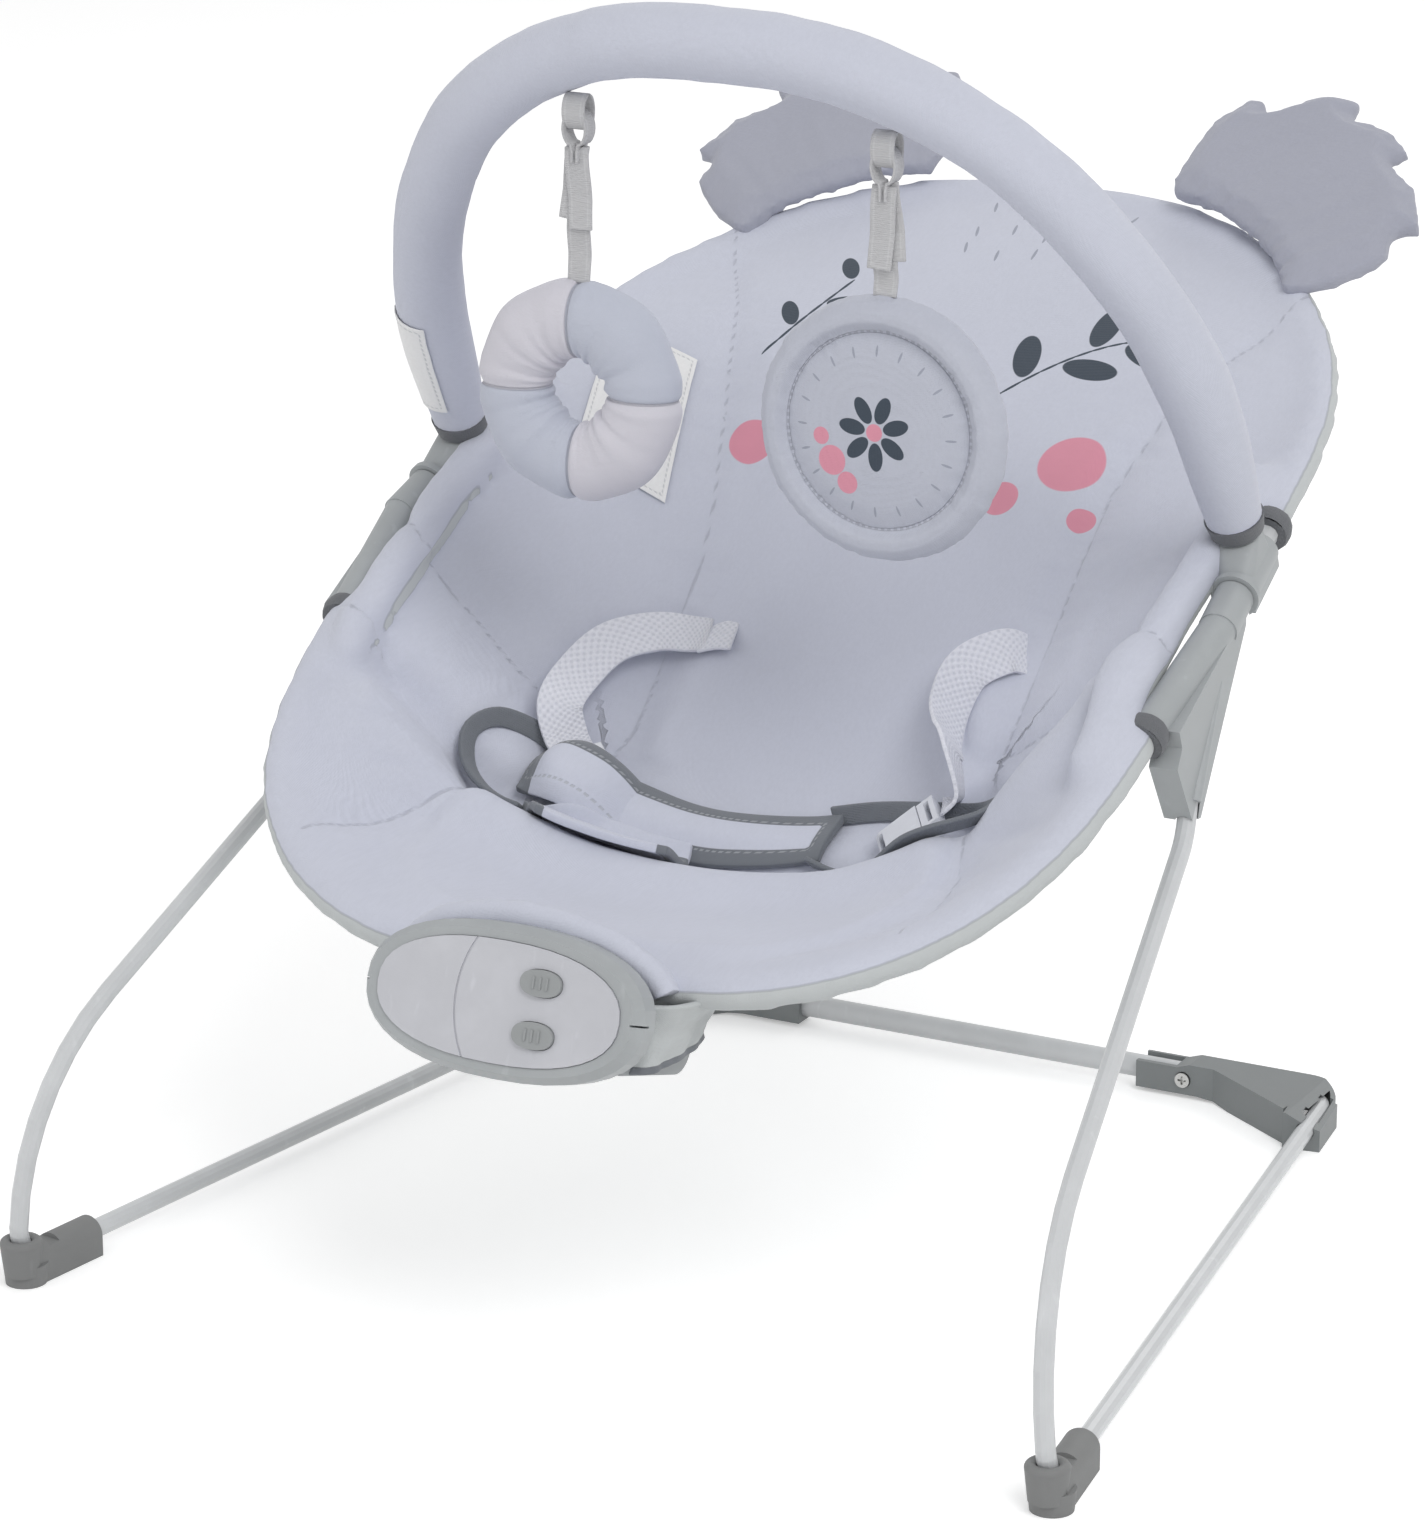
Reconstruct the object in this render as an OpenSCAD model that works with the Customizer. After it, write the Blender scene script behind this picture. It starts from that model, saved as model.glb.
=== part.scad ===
// Infant bouncer seat: a sprung wire base, a reclined tube frame with a padded seat,
// a vibration unit at the front and a padded toy bar with two hanging toys.
// +Z is up, -Y is the front, and the origin is on the floor below the middle.

/* [Base] */
// Spacing of the front feet, centre to centre
foot_spacing = 470; // [460:2:480]
// Spacing of the rear corners, centre to centre
rear_spacing = 352; // [346:2:358]
// Position of the front foot bends along Y
foot_y = -278; // [-282:1:-274]
// Position of the rear crossbar along Y
rear_y = 153; // [148:1:158]
// Diameter of the spring wire
wire_d = 8; // [7.5:0.1:8.2]
// Height of the floor wires' centre line
floor_z = 9; // [8.8:0.1:9.5]
// Outer diameter of the rear crossbar
crossbar_d = 10.5; // [10.3:0.1:11]

/* [Seat frame] */
// Half width of the frame at its side brackets
frame_half_w = 192; // [190:1:194]
// Height of the frame's bend at the side brackets
hinge_z = 279; // [275:1:283]
// Position of the frame's bend along Y
hinge_y = -30; // [-34:1:-26]
// Slope of the front half of the frame
front_slope = 27.5; // [26:0.5:29]
// Slope of the back half of the frame
back_slope = 21.5; // [20:0.5:23]
// Length of the front half, measured along its slope
front_len = 240; // [236:1:244]
// Length of the back half, measured along its slope
back_len = 290; // [286:1:294]
// Outer diameter of the frame tube
tube_d = 10.5; // [10:0.1:10.8]
// Wall of the frame tube
tube_wall = 1; // [0.8:0.1:1.5]

/* [Soft goods] */
// Outer diameter of the fabric sleeves on the frame tube
sleeve_d = 17; // [15:0.5:18]
// Depth of the seat below the frame at its deepest place
seat_depth = 100; // [92:2:104]
// Thickness of the ear flaps
ear_t = 8; // [5:1:12]

/* [Vibration unit] */
// Width of the front case
unit_w = 124; // [118:1:130]
// Height of the front case
unit_h = 61; // [60:1:64]
// Lean of the face from upright
unit_lean = 18; // [14:1:22]
// Travel of the two push buttons
button_travel = 1.5; // [1:0.1:1.8]

/* [Toy bar] */
// Half span of the arch at its clips
arch_half_w = 183; // [181:1:185]
// Height of the arch measured in its own plane
arch_h = 223; // [218:1:228]
// Forward lean of the arch
arch_lean = 28.6; // [26:0.1:31]
// Outer diameter of the padded sleeve
bar_sleeve_d = 31; // [28:1:33]
// Diameter of the ring toy
ring_toy_d = 92; // [86:1:96]
// Diameter of the disc toy
disc_toy_d = 109; // [104:1:114]

/* [Hidden] */
$fn = 48;

// ---- helpers: straight and bent round bars ----

function unit(v) = v / norm(v);

// Matrix that puts +Z along z_dir and +X along x_dir at point p
function frame_at(p, z_dir, x_dir) =
  let (y_dir = cross(z_dir, x_dir))
  [[x_dir.x, y_dir.x, z_dir.x, p.x],
   [x_dir.y, y_dir.y, z_dir.y, p.y],
   [x_dir.z, y_dir.z, z_dir.z, p.z],
   [0, 0, 0, 1]];

// A direction square to z_dir
function square_to(z_dir) = unit(cross(abs(z_dir.x) < 0.8 ? [1, 0, 0] : [0, 1, 0], z_dir));

module bar(p, q, d) {
  along = unit(q - p);
  multmatrix(frame_at(p, along, square_to(along))) cylinder(d = d, h = norm(q - p));
}

// Half of the angle between the two straights that meet at b
function half_angle(a, b, c) = acos(unit(a - b) * unit(c - b)) / 2;

// One bend of radius r at corner b of the path a, b, c
module bend(a, b, c, r, d) {
  half = half_angle(a, b, c);
  cut = r / tan(half);
  centre = b + unit(unit(a - b) + unit(c - b)) * r / sin(half);
  start = unit(b + unit(a - b) * cut - centre);
  finish = unit(b + unit(c - b) * cut - centre);
  multmatrix(frame_at(centre, unit(cross(start, finish)), start))
    rotate_extrude(angle = 180 - 2 * half) translate([r, 0]) circle(d = d);
}

// Stations [point, direction] along a path of corners, each bent to its radius
function bend_stations(a, b, c, r, step) =
  let (half = half_angle(a, b, c), turn = 180 - 2 * half, from = unit(a - b), to = unit(c - b),
    centre = b + unit(from + to) * r / sin(half), start = unit(b + from * r / tan(half) - centre),
    across = unit(cross(cross(start, -from), start)), count = ceil(turn / step))
  [for (k = [0:count]) let (w = turn * k / count)
    [centre + (start * cos(w) + across * sin(w)) * r, across * cos(w) - start * sin(w)]];
function stations(path, radii, step = 10) =
  let (last = len(path) - 1)
  concat([[path[0], unit(path[1] - path[0])]],
    [for (i = [1:last - 1]) each bend_stations(path[i - 1], path[i], path[i + 1], radii[i - 1], step)],
    [[path[last], unit(path[last] - path[last - 1])]]);

// Side directions carried along the stations without twist
function carried(x, along) = unit(x - along * (x * along));
function side_dirs(at) = [for (i = 0, x = square_to(at[0][1]); i < len(at);
  i = i + 1, x = i < len(at) ? carried(x, at[i][1]) : x) x];

// One ring of points round each station
function rings(at, d, sides, end_d = 0) =
  let (x = side_dirs(at), last = len(at) - 1)
  [for (i = [0:last]) let (y = cross(at[i][1], x[i]), w = end_d > 0 && (i == 0 || i == last) ? end_d : d)
    for (k = [0:sides - 1]) at[i][0] + (x[i] * cos(360 * k / sides) + y * sin(360 * k / sides)) * w / 2];
function wall_faces(count, sides, first, outward) = [
  for (i = [0:count - 2], k = [0:sides - 1])
    let (a = first + i * sides + k, b = first + i * sides + (k + 1) % sides, c = a + sides, d = b + sides)
    each outward ? [[a, c, b], [b, c, d]] : [[a, b, c], [b, d, c]]];

// Round bar swept along a bent path
module swept_bar(path, radii, d, sides = 12) {
  at = stations(path, radii);
  last = (len(at) - 1) * sides;
  polyhedron(rings(at, d, sides), concat(wall_faces(len(at), sides, 0, true),
    [[for (k = [0:sides - 1]) k]], [[for (k = [sides - 1:-1:0]) last + k]]));
}

// Round tube swept along a bent path, open at both ends, tapering to end_d if that is given
module swept_tube(path, radii, outer_d, inner_d, sides = 12, end_d = 0) {
  at = stations(path, radii);
  inner = len(at) * sides;
  last = (len(at) - 1) * sides;
  polyhedron(concat(rings(at, outer_d, sides, end_d), rings(at, inner_d, sides)),
    concat(wall_faces(len(at), sides, 0, true), wall_faces(len(at), sides, inner, false),
      [for (k = [0:sides - 1]) let (n = (k + 1) % sides)
        each [[k, n, inner + k], [n, inner + n, inner + k],
          [last + n, last + k, inner + last + k], [last + n, inner + last + k, inner + last + n]]]));
}

// Cutter for a bent bore: straights and bends laid end to end
module bent_bore(path, radii, d) {
  last = len(path) - 1;
  cuts = [for (i = [0:last]) i == 0 || i == last ? 0
    : radii[i - 1] / tan(half_angle(path[i - 1], path[i], path[i + 1]))];
  for (i = [0:last - 1]) {
    along = unit(path[i + 1] - path[i]);
    bar(path[i] + along * cuts[i], path[i + 1] - along * cuts[i + 1], d);
  }
  for (i = [1:last - 1]) bend(path[i - 1], path[i], path[i + 1], radii[i - 1], d);
}

// The same path with both ends carried on by extra
function longer(path, extra) = let (last = len(path) - 1) [
  for (i = [0:last])
    i == 0 ? path[0] + unit(path[0] - path[1]) * extra
    : i == last ? path[last] + unit(path[last] - path[last - 1]) * extra
    : path[i]];

// A copy for one side: side = 1 keeps the right-hand part, side = -1 mirrors it
module on_side(side) {
  if (side > 0) children();
  else mirror([1, 0, 0]) children();
}

// ---- base ----

foot_x = foot_spacing / 2;
rear_x = rear_spacing / 2;
// Right-hand spring wire: bracket end, kink, knee, front foot, rear corner, crossbar end
wire_path = [
  [frame_half_w + 0.3, hinge_y - 21.4, hinge_z - 34],
  [frame_half_w + 4, hinge_y - 39, hinge_z - 78],
  [foot_x - 6.5, foot_y - 3, 87],
  [foot_x, foot_y, floor_z],
  [rear_x, rear_y, floor_z],
  [rear_x - 84, rear_y, floor_z],
];
wire_radii = [24, 100, 18, 16];
rear_screw_x = rear_x - 67;
floor_run = unit(wire_path[4] - wire_path[3]);
floor_turn = atan2(floor_run.y, floor_run.x) - 90;

module rear_screw_hole(d) {
  translate([rear_screw_x, rear_y - 20, floor_z]) rotate([-90, 0, 0]) cylinder(d = d, h = 40);
}

module leg_wire(side) {
  color("whitesmoke") on_side(side) difference() {
    swept_bar(wire_path, wire_radii, wire_d);
    rear_screw_hole(3.7);
  }
}

// Boot over the front bend of a wire: a round-topped grip along the floor run,
// a flared collar round the upright wire and a round heel under it
boot_len = 44;
boot_w = 15;
module front_foot(side) {
  color("dimgray") on_side(side) difference() {
    translate([foot_x, foot_y, 0]) rotate([0, 0, floor_turn]) union() {
      difference() {
        union() {
          translate([0, boot_len, floor_z]) rotate([90, 0, 0]) cylinder(d = boot_w, h = boot_len);
          translate([-boot_w / 2, 2, 0]) cube([boot_w, boot_len - 2, floor_z]);
        }
        // strap slot across the top
        translate([-boot_w, 14, floor_z + 5.4]) cube([2 * boot_w, 6, 5]);
      }
      translate([0, 4.5, 0]) cylinder(d1 = 17.4, d2 = 19, h = 9);
      translate([-1, 1.2, 5]) cylinder(d1 = 15, d2 = 18, h = 13.5);
      translate([-1, 1.2, 18.5]) rotate_extrude() translate([6.6, 0]) circle(d = 4.8);
    }
    bent_bore([wire_path[2], wire_path[3], wire_path[4]], [wire_radii[2]], wire_d + 0.6);
  }
}

// Moulded rear corner: an open channel on the crossbar and a shell over the wire's bend
corner_top = floor_z + 7.6;
corner_wall = 2.4;
corner_reach = 90;
corner_arm = 42;
module corner_plan(inset) {
  translate([rear_x - corner_reach + inset, rear_y - 8 + inset])
    square([corner_reach - 11, 15 - 2 * inset]);
  translate([rear_x - 11.3, rear_y - 11.3]) circle(r = 18.3 - inset);
  translate([rear_x, rear_y]) rotate(floor_turn) translate([-10 + inset, -corner_arm + inset])
    square([17 - 2 * inset, corner_arm - 10]);
  // web that fills the inner corner
  polygon([
    [rear_x - 52 + 2 * inset, rear_y - 8 + inset], [rear_x - 6 + inset, rear_y - 38 + 2 * inset],
    [rear_x - 2, rear_y - 6],
  ]);
}
module rear_corner(side) {
  color("gray") on_side(side) difference() {
    intersection() {
      linear_extrude(corner_top) corner_plan(0);
      // side profile: low over the channel, falling at the outer end
      translate([0, rear_y + 40, 0]) rotate([90, 0, 0]) linear_extrude(120) polygon([
        [rear_x - 95, 2], [rear_x - 60, 2], [rear_x - 42, 0], [rear_x + 20, 0], [rear_x + 20, 8],
        [rear_x + 7, 11.5], [rear_x - 3, corner_top], [rear_x - 64, corner_top], [rear_x - 70, corner_top - 2],
        [rear_x - 95, corner_top - 2],
      ]);
    }
    // hollow below: an open-bottomed shell
    intersection() {
      translate([0, 0, -1]) linear_extrude(corner_top - corner_wall + 1) corner_plan(corner_wall);
      translate([rear_x - 40, rear_y - corner_arm + 8, -5]) cube([60, 60, 40]);
    }
    // open channel over the end of the crossbar
    translate([rear_x - 95, rear_y - crossbar_d / 2 - 0.1, floor_z]) cube([24, crossbar_d + 0.2, 20]);
    translate([rear_x - 95, rear_y, floor_z]) rotate([0, 90, 0]) cylinder(d = crossbar_d + 0.2, h = 60);
    // way in for the floor wire
    bar([foot_x, foot_y, floor_z], [rear_x, rear_y, floor_z] - floor_run * 20, wire_d + 0.6);
    // screw: clearance hole and a counterbore in the front wall
    rear_screw_hole(3.7);
    translate([rear_screw_x, rear_y - 20, floor_z]) rotate([-90, 0, 0]) cylinder(d = 7.6, h = 13.5);
    // two square snap windows in the top
    for (at = [[1, -12], [-1.5, -29]]) translate([rear_x, rear_y]) rotate(floor_turn)
      translate([at.x - 2, at.y - 2, corner_top - 8]) cube([4, 4, 12]);
  }
}

module rear_crossbar() {
  color("whitesmoke") difference() {
    translate([-rear_x + 36, rear_y, floor_z]) rotate([0, 90, 0])
      cylinder(d = crossbar_d, h = 2 * (rear_x - 36));
    translate([-rear_x, rear_y, floor_z]) rotate([0, 90, 0])
      cylinder(d = wire_d + 0.2, h = 2 * rear_x);
    for (side = [-1, 1]) on_side(side) rear_screw_hole(3.7);
  }
}

module rear_screws() {
  color("silver") for (side = [-1, 1]) on_side(side)
    translate([rear_screw_x, rear_y - 6.5, floor_z]) rotate([-90, 0, 0]) {
      translate([0, 0, -2.6]) difference() {
        cylinder(d = 7, h = 2.6);
        for (turn = [0, 90]) rotate([0, 0, turn]) translate([-2, -0.5, -1]) cube([4, 1, 2.2]);
      }
      cylinder(d = 3.5, h = 14);
    }
}

// ---- seat frame ----

// Points on the two sloping halves: x across, v along the slope, n square to it
function front_pt(x, v, n = 0) = [x,
  hinge_y + v * cos(front_slope) - n * sin(front_slope),
  hinge_z + v * sin(front_slope) + n * cos(front_slope)];
function back_pt(x, v, n = 0) = [x,
  hinge_y + v * cos(back_slope) - n * sin(back_slope),
  hinge_z + v * sin(back_slope) + n * cos(back_slope)];

// Outline of each half from the bracket to the middle, and its bend radii
front_half = [[frame_half_w, 0], [frame_half_w - 12, -131], [frame_half_w - 58, -front_len]];
back_half = [[frame_half_w, 0], [frame_half_w - 14, 177], [frame_half_w - 102, back_len]];
front_radii = [180, 134, 134, 180];
back_radii = [196, 148, 148, 196];

// The point at distance s along the first straight of a half
function along_half(half, s) = half[0] + unit(half[1] - half[0]) * s;
function full_path(half, s) = concat([along_half(half, s)], [half[1], half[2]],
  [[-half[2].x, half[2].y], [-half[1].x, half[1].y]],
  [[-along_half(half, s).x, along_half(half, s).y]]);
function front_path(s) = [for (q = full_path(front_half, s)) front_pt(q.x, q.y)];
function back_path(s) = [for (q = full_path(back_half, s)) back_pt(q.x, q.y)];
function front_side(s) = let (q = along_half(front_half, s)) front_pt(q.x, q.y);
function back_side(s) = let (q = along_half(back_half, s)) back_pt(q.x, q.y);

module seat_tube_front() {
  color("whitesmoke") swept_tube(front_path(2), front_radii, tube_d, tube_d - 2 * tube_wall);
}

module seat_tube_back() {
  color("whitesmoke") swept_tube(back_path(2), back_radii, tube_d, tube_d - 2 * tube_wall);
}

// Side bracket: a wedge between the frame tube above and the spring wire below
bracket_front = 62;
bracket_back = 21;
bracket_d = 15.4;
bracket_screw_at = [[hinge_y - 36, hinge_z - 44], [hinge_y - 14, hinge_z - 17]];
module side_bracket(side) {
  color("gray") on_side(side) difference() {
    union() {
      bar(front_side(bracket_front), front_side(0), bracket_d);
      // collar over the back tube
      bar(back_side(-1.5), back_side(bracket_back), bracket_d + 1);
      // wedge plate, leaning out with the wire
      translate([frame_half_w - 5.5, 0, 0]) rotate([90, 0, 90]) linear_extrude(12.5) polygon([
        [hinge_y - 30, hinge_z - 71], [hinge_y - 38.5, hinge_z - 70.5], [hinge_y - 55.5, hinge_z - 44],
        [hinge_y - 51.3, hinge_z - 35.7], [hinge_y - 54.6, hinge_z - 28.4], [hinge_y, hinge_z], [hinge_y + 12, hinge_z + 4.7],
        [hinge_y + 12, hinge_z - 1],
      ]);
      // rounded rib on the outer face, tapering upwards
      translate([frame_half_w + 6.6, hinge_y - 36.5, hinge_z - 62]) rotate([-29.5, 0, 0])
        cylinder(d1 = 6, d2 = 1.4, h = 50);
    }
    // bores for the two tube ends and for the wire
    bar(front_side(bracket_front + 1), front_side(1), tube_d + 0.2);
    bar(back_side(1), back_side(bracket_back + 1), tube_d + 0.2);
    bar(wire_path[0] + (wire_path[0] - wire_path[1]) * 0.02, wire_path[1], wire_d + 1.2);
    // small window in the inner face near the front end
    translate([frame_half_w - 8, hinge_y - 50, hinge_z - 40]) cube([5, 7, 4]);
    for (at = bracket_screw_at) {
      translate([frame_half_w - 8, at[0], at[1]]) rotate([0, 90, 0]) cylinder(d = 3.2, h = 11);
      translate([frame_half_w - 8, at[0], at[1]]) rotate([0, 90, 0]) cylinder(d = 6.4, h = 4.5);
    }
  }
}

module bracket_screws() {
  color("silver") for (side = [-1, 1]) on_side(side) for (at = bracket_screw_at)
    translate([frame_half_w - 5.4, at[0], at[1]]) rotate([0, 90, 0]) {
      cylinder(d = 5.8, h = 1.8);
      cylinder(d = 3, h = 8);
    }
}

// ---- soft goods ----

module sleeve_front() {
  // open in the middle, where the vibration unit grips the tube
  color("lightslategray") difference() {
    swept_tube(front_path(bracket_front + 3), front_radii, sleeve_d, tube_d + 0.6);
    translate(front_pt(0, -front_len)) cube([86, 60, 60], center = true);
  }
}

module sleeve_back() {
  color("lightslategray")
    swept_tube(back_path(68), back_radii, sleeve_d, tube_d + 0.6);
}

// Rim of the pad: the frame's outline drawn in by a gap, with room for the brackets and clips.
// Points are [x, v] in the two sloping halves laid flat.
rim_gap = sleeve_d / 2 + 0.5;
function flat(q) = [q.x, q.y, 0];
rim_corners = [for (q = [
  [0, 3 - front_len], front_half[2] + [0, 3], front_half[1], [frame_half_w - 6.6, 0],
  back_half[1], back_half[2], [0, back_len]]) flat(q)];
function drawn_in(path, i, gap) =
  let (a = path[i - 1], b = path[i], c = path[i + 1])
  b + unit(unit(a - b) + unit(c - b)) * gap / sin(half_angle(a, b, c));
rim_path = concat([rim_corners[0] + [0, rim_gap, 0]],
  [for (i = [1:len(rim_corners) - 2]) drawn_in(rim_corners, i, rim_gap)],
  [rim_corners[len(rim_corners) - 1] - [0, rim_gap, 0]]);
rim_radii = [for (r = [134, 180, 400, 196, 148]) r - rim_gap];
// Longer steps are divided, so that no two neighbours lie far apart
function divided(points, gap) = concat(
  [for (i = [0:len(points) - 2])
    let (a = points[i], b = points[i + 1], parts = ceil(norm(b - a) / gap))
    for (k = [0:parts - 1]) a + (b - a) * k / parts], [points[len(points) - 1]]);
half_rim = divided([for (at = stations(rim_path, rim_radii, 17)) at[0]], 46);
rim = concat(half_rim, [for (i = [len(half_rim) - 2:-1:1]) [-half_rim[i].x, half_rim[i].y]]);
function rim_len(v) = (v < 0 ? front_len - 3 : back_len) - rim_gap;
// Half width of the rim at v
function rim_half_w(v) = lookup(v, [for (q = half_rim) [q.y, q.x]]);

// Depth of the seat below the frame: deepest behind the middle of the front half
deep_v = -65;
function depth_along(v) = v < deep_v
  ? 1 - pow((deep_v - v) / (rim_len(-1) + deep_v), 1.7)
  : pow(1 - pow((v - deep_v) / (rim_len(1) - deep_v), 1.5), 2.8);
function depth_at(x, v) =
  let (w = max(1, rim_half_w(v)))
  seat_depth * max(0, depth_along(v)) * (1 - pow(min(1, abs(x) / w), 2.4));

mean_slope = (front_slope + back_slope) / 2;
function seat_pt(x, v, n) =
  let (slope = v < 0 ? front_slope : back_slope)
  [x, hinge_y + v * cos(slope) - n * sin(mean_slope), hinge_z + v * sin(slope) + n * cos(mean_slope)];

// Closed shell between two heights over the pad's outline
pad_turns = len(rim);
pad_rings = 7;
pad_low = -8;
function pad_swell(ring) = 4 + 7 * (1 - pow(ring / pad_rings, 4));
function pad_pt(ring, turn, top) =
  let (q = rim[turn] * ring / pad_rings)
  seat_pt(q.x, q.y, -depth_at(q.x, q.y) + (top ? pad_swell(ring) : max(pad_low, -pad_swell(ring))));
module seat_pad() {
  points = [for (top = [true, false]) each concat([pad_pt(0, 0, top)],
    [for (ring = [1:pad_rings], turn = [0:pad_turns - 1]) pad_pt(ring, turn, top)])];
  half = 1 + pad_rings * pad_turns;
  function at(ring, turn, top) =
    (top ? 0 : half) + (ring == 0 ? 0 : 1 + (ring - 1) * pad_turns + turn % pad_turns);
  faces = concat(
    [for (turn = [0:pad_turns - 1]) [at(0, 0, true), at(1, turn + 1, true), at(1, turn, true)]],
    [for (turn = [0:pad_turns - 1]) [at(0, 0, false), at(1, turn, false), at(1, turn + 1, false)]],
    [for (ring = [1:pad_rings - 1], turn = [0:pad_turns - 1])
      each [[at(ring, turn, true), at(ring, turn + 1, true), at(ring + 1, turn, true)],
            [at(ring, turn + 1, true), at(ring + 1, turn + 1, true), at(ring + 1, turn, true)]]],
    [for (ring = [1:pad_rings - 1], turn = [0:pad_turns - 1])
      each [[at(ring, turn + 1, false), at(ring, turn, false), at(ring + 1, turn, false)],
            [at(ring + 1, turn + 1, false), at(ring, turn + 1, false), at(ring + 1, turn, false)]]],
    [for (turn = [0:pad_turns - 1])
      each [[at(pad_rings, turn, true), at(pad_rings, turn + 1, true), at(pad_rings, turn, false)],
            [at(pad_rings, turn + 1, true), at(pad_rings, turn + 1, false),
             at(pad_rings, turn, false)]]]);
  color("lavender") polyhedron(points, faces);
}

// Decorative flap sewn to the rear corner of the rim, with a toothed outer edge
ear_lift = 10;
ear_hinge_v = 232;
corner_centre = [17, 141];
module ear(side) {
  color("rosybrown") on_side(side)
    translate(back_pt(0, ear_hinge_v, 3)) rotate([back_slope + ear_lift, 0, 0])
    linear_extrude(ear_t) difference() {
      translate([1, 4.6 - ear_hinge_v]) polygon([
        [66, 270], [57, 300], [58, 326], [68, 343], [75, 345], [82, 335], [104, 352], [122, 352],
        [126, 338], [144, 334], [159, 321], [153, 312], [170, 296], [180, 271], [170, 266],
        [170, 249], [160, 236], [147, 228], [120, 236],
      ]);
      translate([corner_centre.x, corner_centre.y - ear_hinge_v]) circle(r = 148 + sleeve_d / 2 + 0.5);
    }
}

// ---- harness ----

// Height of the pad's top at (x, v), with a clearance
function on_pad(x, v, up) = seat_pt(x, v, -depth_at(x, v) + 11 + up);

// Strip of fabric along a list of places, with its width along a direction
module ribbon(places, wide, thick) {
  last = len(places) - 1;
  function ahead(i) = unit(places[min(last, i + 1)] - places[max(0, i - 1)]);
  points = [for (i = [0:last])
    let (w = unit(wide[i] - ahead(i) * (wide[i] * ahead(i))), up = cross(w, ahead(i)))
    each [places[i] - w * norm(wide[i]) / 2 - up * thick / 2, places[i] + w * norm(wide[i]) / 2 - up * thick / 2,
          places[i] + w * norm(wide[i]) / 2 + up * thick / 2, places[i] - w * norm(wide[i]) / 2 + up * thick / 2]];
  faces = concat([[3, 2, 1, 0]], [[for (k = [0:3]) 4 * last + k]],
    [for (i = [0:last - 1], k = [0:3])
      each [[4 * i + k, 4 * i + (k + 1) % 4, 4 * i + 4 + k],
            [4 * i + (k + 1) % 4, 4 * i + 4 + (k + 1) % 4, 4 * i + 4 + k]]]);
  polyhedron(points, faces);
}

crotch_v = -80;
panel_half = 54;
panel_steps = 8;
panel_rows = 4;
// Quilted panel that follows the pad, with a flat tape loop round each buckle
module crotch_panel() {
  columns = 2 * panel_steps;
  function spot(i, k, top) =
    on_pad((i - panel_steps) * panel_half / panel_steps, crotch_v + 40 * (k / panel_rows - 0.5), top ? 6.6 : 2.8);
  points = [for (top = [true, false], i = [0:columns], k = [0:panel_rows]) spot(i, k, top)];
  half = (columns + 1) * (panel_rows + 1);
  function at(i, k, top) = (top ? 0 : half) + i * (panel_rows + 1) + k;
  function patch(a, b, c, d) = [[a, b, c], [b, d, c]];
  faces = concat(
    [for (i = [0:columns - 1], k = [0:panel_rows - 1]) each concat(
      patch(at(i, k, true), at(i, k + 1, true), at(i + 1, k, true), at(i + 1, k + 1, true)),
      patch(at(i, k + 1, false), at(i, k, false), at(i + 1, k + 1, false), at(i + 1, k, false)))],
    [for (i = [0:columns - 1]) each concat(
      patch(at(i, 0, false), at(i, 0, true), at(i + 1, 0, false), at(i + 1, 0, true)),
      patch(at(i, panel_rows, true), at(i, panel_rows, false),
        at(i + 1, panel_rows, true), at(i + 1, panel_rows, false)))],
    [for (k = [0:panel_rows - 1]) each concat(
      patch(at(0, k, false), at(0, k + 1, false), at(0, k, true), at(0, k + 1, true)),
      patch(at(columns, k, true), at(columns, k + 1, true), at(columns, k, false), at(columns, k + 1, false)))]);
  loop_line = [[50, -62, 4], [76, -63, 3.1], [101, -65, 2.2], [119, -71, 2.6], [124, -85, 3.2],
    [112, -98, 3.6], [80, -102, 3.6], [50, -98, 4]];
  loop_centre_at = [78, -80];
  color("lightsteelblue") {
    polyhedron(points, faces);
    for (side = [-1, 1]) on_side(side)
      ribbon([for (q = loop_line) on_pad(q.x, q.y, q.z)],
        [for (q = loop_line) let (out = unit([q.x, q.y] - loop_centre_at))
          unit(on_pad(q.x + out.x, q.y + out.y, 3) - on_pad(q.x - out.x, q.y - out.y, 3)) * 8], 1.6);
  }
}

// Side-release buckle on each side of the crotch panel;
// +Y of its own frame is the way the plug pulls out
strap_w = 20;
strap_t = 1.8;
buckle_at = on_pad(74, -79, 10.6);
buckle_turn = 52;
buckle_tilt = 29;
module buckle_frame() {
  translate(buckle_at) rotate([front_slope, 0, 0]) rotate([0, -buckle_tilt, 0])
    rotate([0, 0, -buckle_turn]) children();
}
// Direction of [x, y] in the buckle's tilted plane
function tilted(x, y) = let (z = x * sin(buckle_tilt))
  [x * cos(buckle_tilt), y * cos(front_slope) - z * sin(front_slope), y * sin(front_slope) + z * cos(front_slope)];
pull = tilted(sin(buckle_turn), cos(buckle_turn));
plug_side = tilted(-cos(buckle_turn), sin(buckle_turn));

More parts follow.
